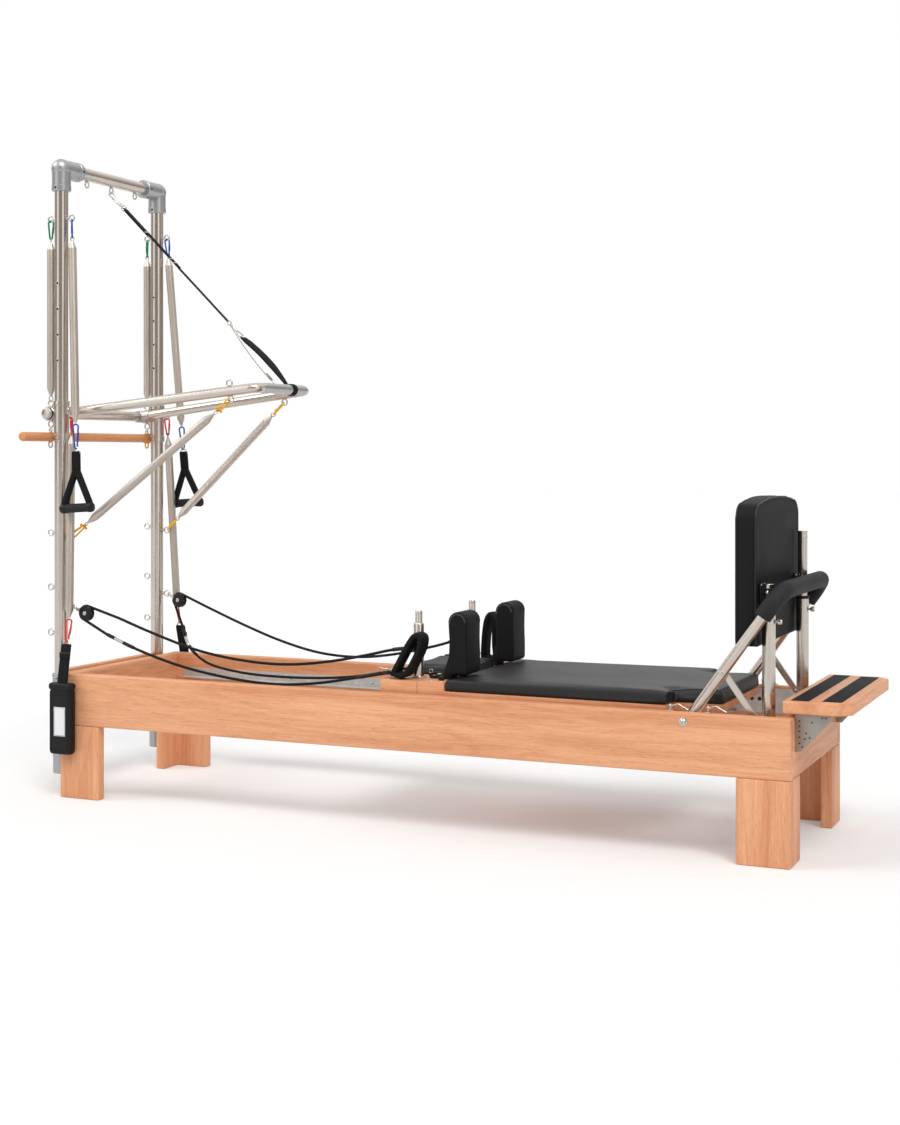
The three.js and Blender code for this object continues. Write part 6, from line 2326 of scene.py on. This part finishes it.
    def loops(self) -> None:
        """Padded loops that lie between the risers and the shoulder rests."""
        routes = {
            "near": [(1176, -251, 458), (1193, -252, 488), (1212, -252, 522),
                     (1232, -252, 555), (1250, -252, 575), (1267, -252, 570),
                     (1266, -252, 541), (1250, -252, 506), (1232, -252, 475),
                     (1216, -252, 457), (1195, -251, 452)],
            "far": [(1260, 251, 458), (1262, 251, 502), (1266, 251, 546), (1273, 251, 581),
                    (1284, 251, 597), (1295, 251, 583), (1299, 251, 546), (1300, 251, 502),
                    (1300, 251, 458), (1280, 251, 450)],
        }
        for side, route in routes.items():
            points = smooth_path([*route, route[0]], 54)[:-1]
            band = Form().sweep(points, Section(56, 17, 32, 0.45), closed=True, side=ACROSS,
                                mapped=True)
            Fitting("carriage").put(band, f"foot_loop_{side}", "webbing")
            rows = Form()
            centre = sum(points, Vector()) / len(points)
            for off in (-21, 21):
                line = [p + ACROSS * off + (p - centre).normalized() * 8.0 for p in points]
                stitches(rows, line, 6.0, 0.5, closed=True)
            Fitting("carriage").put(rows, f"foot_loop_stitches_{side}", "plastic")
            base = Vector(route[0])
            steel = Form()
            steel.ring(base + Vector((-6, 0, 4)), ACROSS, 9, 1.9)
            snap_hook(steel, base + Vector((-46, 0, 10)), base + Vector((-8, 0, 8)),
                      Vector((0.3, 0.2, 1)), 15, 1.9)
            steel.ring(base + Vector((-52, 0, 5)), ACROSS, 8, 1.7)
            Fitting("carriage").put(steel, f"foot_loop_hook_{side}", "chrome")
            if side == "near":
                tail = smooth_path([base + Vector(p) for p in self.tail], 16)
                strap = Form().sweep(tail, Section(20, 3, 20, 0.4), side=ACROSS, mapped=True)
                Fitting("carriage").put(strap, "foot_loop_tail", "webbing")

    def build(self) -> None:
        """Builds the carriage."""
        self.timber()
        self.cleats()
        self.risers()
        self.rolling()
        self.spring()
        self.loops()


@dataclass
class Upholstery:
    """Padded mat, headrest and shoulder rests."""

    mat_start: float = 1350.0
    mat_width: float = 576.0
    mat_end: float = 2040.0
    tongue_end: float = 2185.0
    tongue_width: float = 430.0
    low: float = 414.3
    high: float = 455.0
    headrest_start: float = 1150.5
    headrest_end: float = 1348.6
    headrest_half: float = 126.5
    rest_y: float = 185.0
    rest_x: float = 1344.0
    rest_low: float = 457.3
    rest_width: float = 112.0

    def outline(self, inset: float) -> list[tuple[float, float]]:
        """Outline of the mat's top, drawn in by a distance."""
        half, tongue = self.mat_width / 2 - inset, self.tongue_width / 2 - inset
        x0, x1, x2 = self.mat_start + inset, self.mat_end - inset, self.tongue_end - inset
        return [(x0, -half), (x1, -half), (x1, -tongue), (x2, -tongue), (x2, tongue),
                (x1, tongue), (x1, half), (x0, half)]

    def mat(self) -> None:
        """Mat with its tongue, filled and seamed."""
        cover = Form().plate(self.outline(1.2), self.low, self.high - 4.5, Axis.Z, 5.0, 3)
        floor_z = (self.low + 3) * METRE
        pad = Cushion(7.0, 5.0, 5.0).fill("mat_pad", cover, lambda co: co.z < floor_z)
        Fitting("carriage", "upholstery", ("mat",)).take(pad, "vinyl")
        tree = surface_of(pad)
        seam, rows = Form(), Form()
        # painted shade: the seams are drawn as cords of the darker cuff vinyl, standing for the
        # shade in their creases
        corners = [Vector((x, y, self.high + 8)) for x, y in self.outline(6.5)]
        line = seam_line(tree, corners, 9, 7)
        seam.sweep(line, round_bar(1.1, 8))
        corners = [Vector((x, y, self.low + 5)) for x, y in self.outline(0)]
        seam.sweep(seam_line(tree, corners, 9, 7), round_bar(1.0, 8))
        Fitting("carriage").put(seam, "mat_painted_shade_seams", "padding")
        stitches(rows, laid_on(tree, [p + (Vector((1700, 0, p.z)) - p).normalized() * 3.4
                                      for p in line], 0.2), 6.5, 0.42)
        Fitting("carriage").put(rows, "mat_stitches", "webbing")

    def headrest(self) -> None:
        """Headrest on its hinge board."""
        x0, x1, half = self.headrest_start, self.headrest_end, self.headrest_half
        cover = Form().block((x0 + 1, -half + 1, 442), (x1 - 1, half - 1, 466), 5, 3)
        floor_z = 443.5 * METRE
        pad = Cushion(5.0, 4.6, 5.0).fill("headrest_pad", cover, lambda co: co.z < floor_z)
        Fitting("headrest", "upholstery", ("headrest",)).take(pad, "vinyl")
        tree = surface_of(pad)
        corners = [Vector((x, y, 474)) for x, y in ((x0 + 8, -half + 8), (x1 - 8, -half + 8),
                                                   (x1 - 8, half - 8), (x0 + 8, half - 8))]
        # painted shade: the seam is a cord of the darker cuff vinyl, standing for the shade in its
        # crease
        seam = Form().sweep(seam_line(tree, corners, 10, 6), round_bar(1.0, 8))
        Fitting("headrest").put(seam, "headrest_painted_shade_seam", "padding")
        hinge = Form()
        for y in (-80, 80):
            hinge.block((x1 - 26, y - 14, 440.4), (x1 - 1, y + 14, 442.2), 0.4)
            hinge.rod((x1 + 0.4, y - 14, 442.6), (x1 + 0.4, y + 14, 442.6), 1.4, sides=14)
        Fitting("headrest").put(hinge, "headrest_hinges", "cast")

    def rest_outline(self, inset: float) -> list[tuple[float, float]]:
        """Side view of a shoulder rest, drawn in by a distance."""
        i, x, z = inset, self.rest_x, self.rest_low
        points = [(x + 1 + i, z + 0.6 + i * 0.5), (x + 61 - i, z + 0.6 + i * 0.5),
                  (x + 63 - i, z + 9), (x + 63 - i, z + 60), (x + 61.5 - i, z + 108),
                  (x + 62 - i, z + 132)]
        centre_x, centre_z = x + 30.6, z + 158.4
        for k in range(13):
            angle = math.radians(-14 + 208 * k / 12)
            points.append((centre_x + (32.6 - i) * math.cos(angle),
                           centre_z + (32.6 - i) * math.sin(angle)))
        return points + [(x + 0.5 + i, z + 128), (x + 2.5 + i, z + 104), (x + 0.5 + i, z + 58),
                         (x - 1 + i, z + 9)]

    def on_rim(self, y: float, co: Vector) -> bool:
        """Whether a place lies along the rim of a rest's side face."""
        p = co / METRE - ORIGIN
        out = abs(p.x - self.rest_x - 31) > 22 or not 9 < p.z - self.rest_low < 182
        return out and abs(p.y - y) > self.rest_width / 2 - 10

    def rests(self) -> None:
        """Shoulder rests with their angle plates."""
        for side, sign in SIDES.items():
            y, half = sign * self.rest_y, self.rest_width / 2
            body = f"shoulder_rest_{side}"
            cover = Form().plate(self.rest_outline(0.6), y - half + 1, y + half - 1, Axis.Y,
                                 7, 4)
            pad = Cushion(4.5, 4.0, 4.0).fill(f"rest_pad_{side}", cover, partial(
                self.on_rim, y))
            # painted shade: the rest is covered in the darker copy of the vinyl
            Fitting(body, "upholstery", (body,)).take(pad, "board_vinyl_with_painted_shade")
            tree = surface_of(pad)
            rows, seam = Form(), Form()
            for way in (-1, 1):
                for inset, made in ((4.2, rows), (8.2, rows), (6.2, seam)):
                    line = [Vector((px, y + way * (half + 3), pz))
                            for px, pz in self.rest_outline(inset)]
                    line = dense_path(line[7:-4] if made is rows else line[2:], 4)
                    line = laid_on(tree, line, 0.2 if made is rows else -0.3)
                    if made is rows:
                        stitches(rows, line, 4.4, 0.45)
                    else:
                        seam.sweep(line, round_bar(0.7, 8))
            Fitting(body).put(rows, f"rest_stitches_{side}", "thread")
            # painted shade: a thin cord of the darker cuff vinyl, sunk into the cover, stands for
            # the shade in the seam's groove
            Fitting(body).put(seam, f"rest_painted_shade_seam_{side}", "padding")
            x, z = self.rest_x, 440.4
            outline = [(x - 74, z), (x - 0.3, z), (x - 0.3, 460), (x + 14, 460), (x + 14, 553),
                       (x - 0.5, 552), (x - 9, 515), (x - 29.6, 455.3), (x - 74, z + 5)]
            skirt = Form().plate(outline, y - 23, y + 23, Axis.Y, 2.2, 3)
            skirt.rod((x - 52, y, 424), (x - 52, y, 446), 6, sides=24)
            Fitting(body).put(skirt, f"rest_skirt_{side}", "padding")
            steel = Form()
            for at in (-14, 14):
                steel.screw((x - 64, y + at, z + 5.2), UP, 3.6, 1.8)
            steel.spun([(0, 9), (5, 8.6), (7, 7), (7, 1), (0, 1)], aimed(
                (x - 52, y, z + 5), UP), 24)
            Fitting(body).put(steel, f"rest_screws_{side}", "chrome")

    def build(self) -> None:
        """Builds the padded pieces of the carriage."""
        self.mat()
        self.headrest()
        self.rests()


@dataclass
class Footbar:
    """Footbar with its foam grip and its two struts."""

    pivot: Point = (2102.0, 380.0)
    lean: float = math.radians(35.5)
    height: float = 448.0
    half: float = 284.0
    bend: float = 62.0
    tube: float = 15.0
    grip: float = 25.0
    grip_start: float = 362.0
    knee: float = 165.0
    strut_y: float = 266.4

    def place(self, y: float, up: float, off: float = 0.0) -> Vector:
        """A place on the bar, from its pivot along its legs."""
        c, s = math.cos(self.lean), math.sin(self.lean)
        return Vector((self.pivot[0] + up * s + off * c, y, self.pivot[1] + up * c - off * s))

    def bar(self) -> None:
        """Tube with its pins, and the foam over its bend."""
        corners = [self.place(-self.half, -15), self.place(-self.half, self.height),
                   self.place(self.half, self.height), self.place(self.half, -15)]
        path = rounded_path(corners, self.bend, 14)
        tube = Form().sweep(path, round_bar(self.tube, 36))
        Fitting("footbar", "tube_steel", ("footbar",)).put(tube, "footbar_tube", "tube_z")
        cover = [self.place(-self.half, self.grip_start), *path[1:-1],
                 self.place(self.half, self.grip_start)]
        cover = dense_path(cover, 12)
        foam = Form().sweep(cover, round_bar(self.grip, 40),
                            sizes=lambda t: 0.985 + 0.015 * min(1.0, min(t, 1 - t) * 60))
        made = foam.bare("footbar_foam")
        Fitting("footbar", "foam_grip", ("footbar_grip",)).take(made, "foam")
        steel = Form()
        for sign in SIDES.values():
            steel.rod((self.pivot[0], sign * self.half, self.pivot[1]),
                      (self.pivot[0], sign * 303.3, self.pivot[1]), 8, sides=28, edge=0.6)
            knee = self.place(0, self.knee)
            steel.rod((knee.x, sign * 290, knee.z), (knee.x, sign * 261.5, knee.z), 6.5,
                      sides=24, edge=0.8)
            steel.screw((knee.x, sign * 262, knee.z), (0, -sign, 0), 8, 3.4)
            steel.screw((knee.x, sign * 298.6, knee.z), (0, sign, 0), 6, 2.6)
            steel.rod((self.pivot[0], sign * 268.5, self.pivot[1]),
                      (self.pivot[0], sign * 270, self.pivot[1]), 11, sides=28, edge=0.5)
            ends = self.place(sign * self.half, -15)
            away = aimed(ends, self.place(0, -15) - self.place(0, 0))
            steel.spun([(15.1, -6), (15.4, -5.6), (15.4, -0.4), (14.4, 0.8), (0, 0.8)], away, 36)
        Fitting("footbar").put(steel, "footbar_pins", "chrome")

    def struts(self) -> None:
        """Flat struts from the legs to the rack of the tracks."""
        c, s = math.cos(self.lean), math.sin(self.lean)
        knee = self.place(0, self.knee)
        for side, sign in SIDES.items():
            y = sign * self.strut_y

            def spot(down: float, off: float = 0.0, out: float = 0.0) -> Vector:
                """A place on the strut, down from the knee."""
                return Vector((knee.x + down * s + off * c, y + sign * out,
                               knee.z - down * c + off * s))

            way = (spot(1) - spot(0)).normalized()
            across = way.cross(ACROSS)
            bar = Form()
            line = [spot(-9), spot(10), spot(150, 0, 0.4), spot(160), spot(172)]
            bar.sweep(dense_path(line, 5), Section(19, 4, 24, 0.28), side=across,
                      sizes=lambda t: (0.62 + 0.38 * min(1.0, min(t, 1 - t) * 12) ** 0.5, 1.0))
            Fitting(f"strut_{side}", "tube_steel", (f"strut_{side}",)).put(
                bar, f"strut_bar_{side}", "tube_z")
            steel = Form()
            steel.rod(spot(165, 0, -3), (spot(165).x, sign * 303.2, spot(165).z), 4, sides=20,
                      edge=0.5)
            steel.screw(spot(165, 0, -2), (0, -sign, 0), 7, 3)
            steel.block((-7, -1.4, -12), (7, 1.4, 12), 0.8,
                        place=aimed(spot(148, 0, -3.2), way, across))
            steel.spun([(4.2, 0), (8.4, 0), (9, 1), (9, 9), (8.4, 10), (4.2, 10)],
                       aimed((spot(165).x, sign * 281, spot(165).z), outward(sign)), 28)
            Fitting(f"strut_{side}").put(steel, f"strut_pins_{side}", "chrome")

    def build(self) -> None:
        """Builds the footbar."""
        self.bar()
        self.struts()


@dataclass
class JumpBoard:
    """Padded board on two stems that stand in sockets."""

    front: float = 2226.0
    back: float = 2290.0
    half: float = 267.0
    low: float = 585.0
    shoulder: float = 977.0
    arch: float = 24.0
    corner: float = 44.0
    socket_x: float = 2312.0
    socket_y: float = 215.0
    stem_tops: Point = (760, 890)

    def outline(self, inset: float) -> list[tuple[float, float]]:
        """Front view of the board, drawn in by a distance."""
        half = self.half - inset
        points = [(-half + 7, self.low + inset), (half - 7, self.low + inset),
                  (half, self.low + 8 + inset)]
        top = []
        for k in range(9):
            angle = math.pi / 2 * k / 8
            y = half - self.corner + self.corner * math.cos(angle)
            z = self.shoulder - self.corner + self.corner * math.sin(angle) - inset
            top.append((y, z + self.arch * (1 - (y / self.half) ** 2)))
        for k in range(1, 12):
            y = (half - self.corner) * (1 - 2 * k / 12)
            top.append((y, self.shoulder - inset + self.arch * (1 - (y / self.half) ** 2)))
        top += [(-y, z) for y, z in reversed(top[:9])]
        return points + top + [(-half, self.low + 8 + inset)]

    def board(self) -> None:
        """Board with piping along both edges of its sides."""
        cover = Form().plate(self.outline(1.6), self.front + 2.5, self.back - 1.5, Axis.X, 6, 3)
        walls = (self.front + 6 + ORIGIN.x) * METRE, (self.back - 5 + ORIGIN.x) * METRE
        middle = (self.low + 200) * METRE

        def held(co: Vector) -> bool:
            """Whether the cover is held at a place: round its rim, by the piping."""
            rim = abs(co.y) > 0.2 or abs(co.z - middle) > 0.17
            return rim and not walls[0] < co.x < walls[1]

        pad = Cushion(6.5, 5.0, 4.0).fill("board_pad", cover, held)
        home = Fitting("jump_board", "upholstery", ("jump_board",))
        # painted shade: the board is covered in the darker copy of the vinyl
        home.take(pad, "board_vinyl_with_painted_shade")
        tree = surface_of(pad)
        piping, rows = Form(), Form()
        for x in (self.front + 3, self.back - 2.5):
            line = [Vector((x, y, z)) for y, z in self.outline(2.0)]
            line = laid_on(tree, dense_path([*line, line[0]], 7)[:-1], 0.9)
            piping.sweep(line, round_bar(2.6, 10), closed=True)
        for x in (self.front + 8.5, self.back - 8.5):
            line = [Vector((x, y, z)) for y, z in self.outline(-2.0)]
            line = laid_on(tree, dense_path([*line, line[0]], 9)[:-1], 0.2)
            stitches(rows, line, 6.5, 0.42, closed=True)
        Fitting("jump_board").put(piping, "board_piping", "vinyl")
        Fitting("jump_board").put(rows, "board_stitches", "webbing")

    def stems(self) -> None:
        """Stems behind the board with the plates that carry it."""
        tubes, black, steel = Form(), Form(), Form()
        x = self.socket_x
        for sign, top in zip((-1, 1), self.stem_tops):
            y = sign * self.socket_y
            tubes.spun([(0, 560), (13, 560), (14.2, 561.4), (14.2, top - 1.4),
                        (13.2, top), (0, top)], aimed((x, y, 0), UP), 44)
            black.block((self.back + 0.6, y - 24, 700), (self.back + 6, y + 24, 762), 1.4)
            black.block((self.back + 2, y - 15.5, 704), (x - 6, y + 15.5, 750), 3, 3)
            black.spun([(14.3, 706), (18.4, 706), (19.4, 707), (19.4, 747), (18.4, 748),
                        (14.3, 748), (14.3, 706)], aimed((x, y, 0), UP), 40)
            for z in (716, 738):
                steel.screw((x, y + sign * 19, z), (0, sign, 0), 5, 3)
                steel.screw((x + 19, y, z), ALONG, 4.4, 2.4)
            for at, z in ((-19, 705), (19, 705), (-19, 757), (19, 757)):
                steel.screw((self.back + 5.9, y + at, z), ALONG, 3.4, 1.8)
        far = aimed((x, self.socket_y, 0), UP)
        tubes.spun([(14.2, 870), (15.6, 870.6), (15.6, 874.4), (14.2, 875)], far, 40)
        tubes.spun([(14.2, 884), (15.2, 884.5), (15.2, 889), (14.2, 890)], far, 40)
        tubes.block((self.back + 0.6, -self.socket_y, 706), (self.back + 5.2, self.socket_y,
                                                            726), 1)
        Fitting("jump_board", "tube_steel", ("jump_board_stems",)).put(
            tubes, "board_stem_tubes", "tube_z")
        Fitting("jump_board").put(black, "board_brackets", "plastic")
        Fitting("jump_board").put(steel, "board_screws", "chrome")

    def sockets(self) -> None:
        """Sockets inside the foot end with their plate."""
        tubes, steel, black = Form(), Form(), Form()
        x = self.socket_x
        for sign in SIDES.values():
            y = sign * self.socket_y
            tubes.spun([(14.6, 262), (17.5, 262), (18.5, 263), (18.5, 689), (17.5, 690),
                        (14.6, 690), (14.6, 262)], aimed((x, y, 0), UP), 48)
            tubes.block((x + 16, y - 9, 301), (2364, y + 9, 339), 1.6)
            steel.screw((x, y - sign * 18.2, 660), (0, -sign, 0), 5, 3)
            steel.rod((x + 17, y, 655), (x + 30, y, 655), 3.6, sides=20, edge=0.6)
            steel.spun([(0, 24), (5, 24), (7.4, 25), (8, 27), (8, 34), (7, 36), (0, 36.6)],
                       aimed((x, y, 655), ALONG), 28)
            black.spun([(14.5, 686), (19.6, 686), (20.4, 687), (20.4, 693.4), (19.4, 694.6),
                        (14.5, 694.6), (14.5, 686)], aimed((x, y, 0), UP), 44)
        tubes.block((2360.7, -233, 300), (2365.7, 233, 340), 1)
        for y in (-160, -50, 50, 160):
            steel.screw((2360.7, y, 320), (-1, 0, 0), 6, 2.8)
        Fitting("frame", "tube_steel", ("jump_board_socket",)).put(tubes, "socket_tubes", "tube_z")
        Fitting("frame").put(steel, "socket_screws", "chrome")
        Fitting("frame").put(black, "socket_collars", "plastic")

    def build(self) -> None:
        """Builds the board and what it stands in."""
        self.board()
        self.stems()
        self.sockets()


def main() -> None:
    """Builds the studio and every part of the reformer."""
    logging.basicConfig(level=logging.INFO, format="%(name)s: %(message)s")
    studio = Studio()
    studio.camera()
    for made in (Ropes(), TimberFrame(), StandingPlate(), Tower(), PushBar(), HangingSprings(),
                 Handle(), Cuff(), RollDownBar(), Pulleys(), Carriage(), Upholstery(),
                 Footbar(), JumpBoard()):
        LOG.info("building %s", type(made).__name__)
        made.build()
    studio.light()
    studio.floor()


if __name__ == "__main__":
    main()
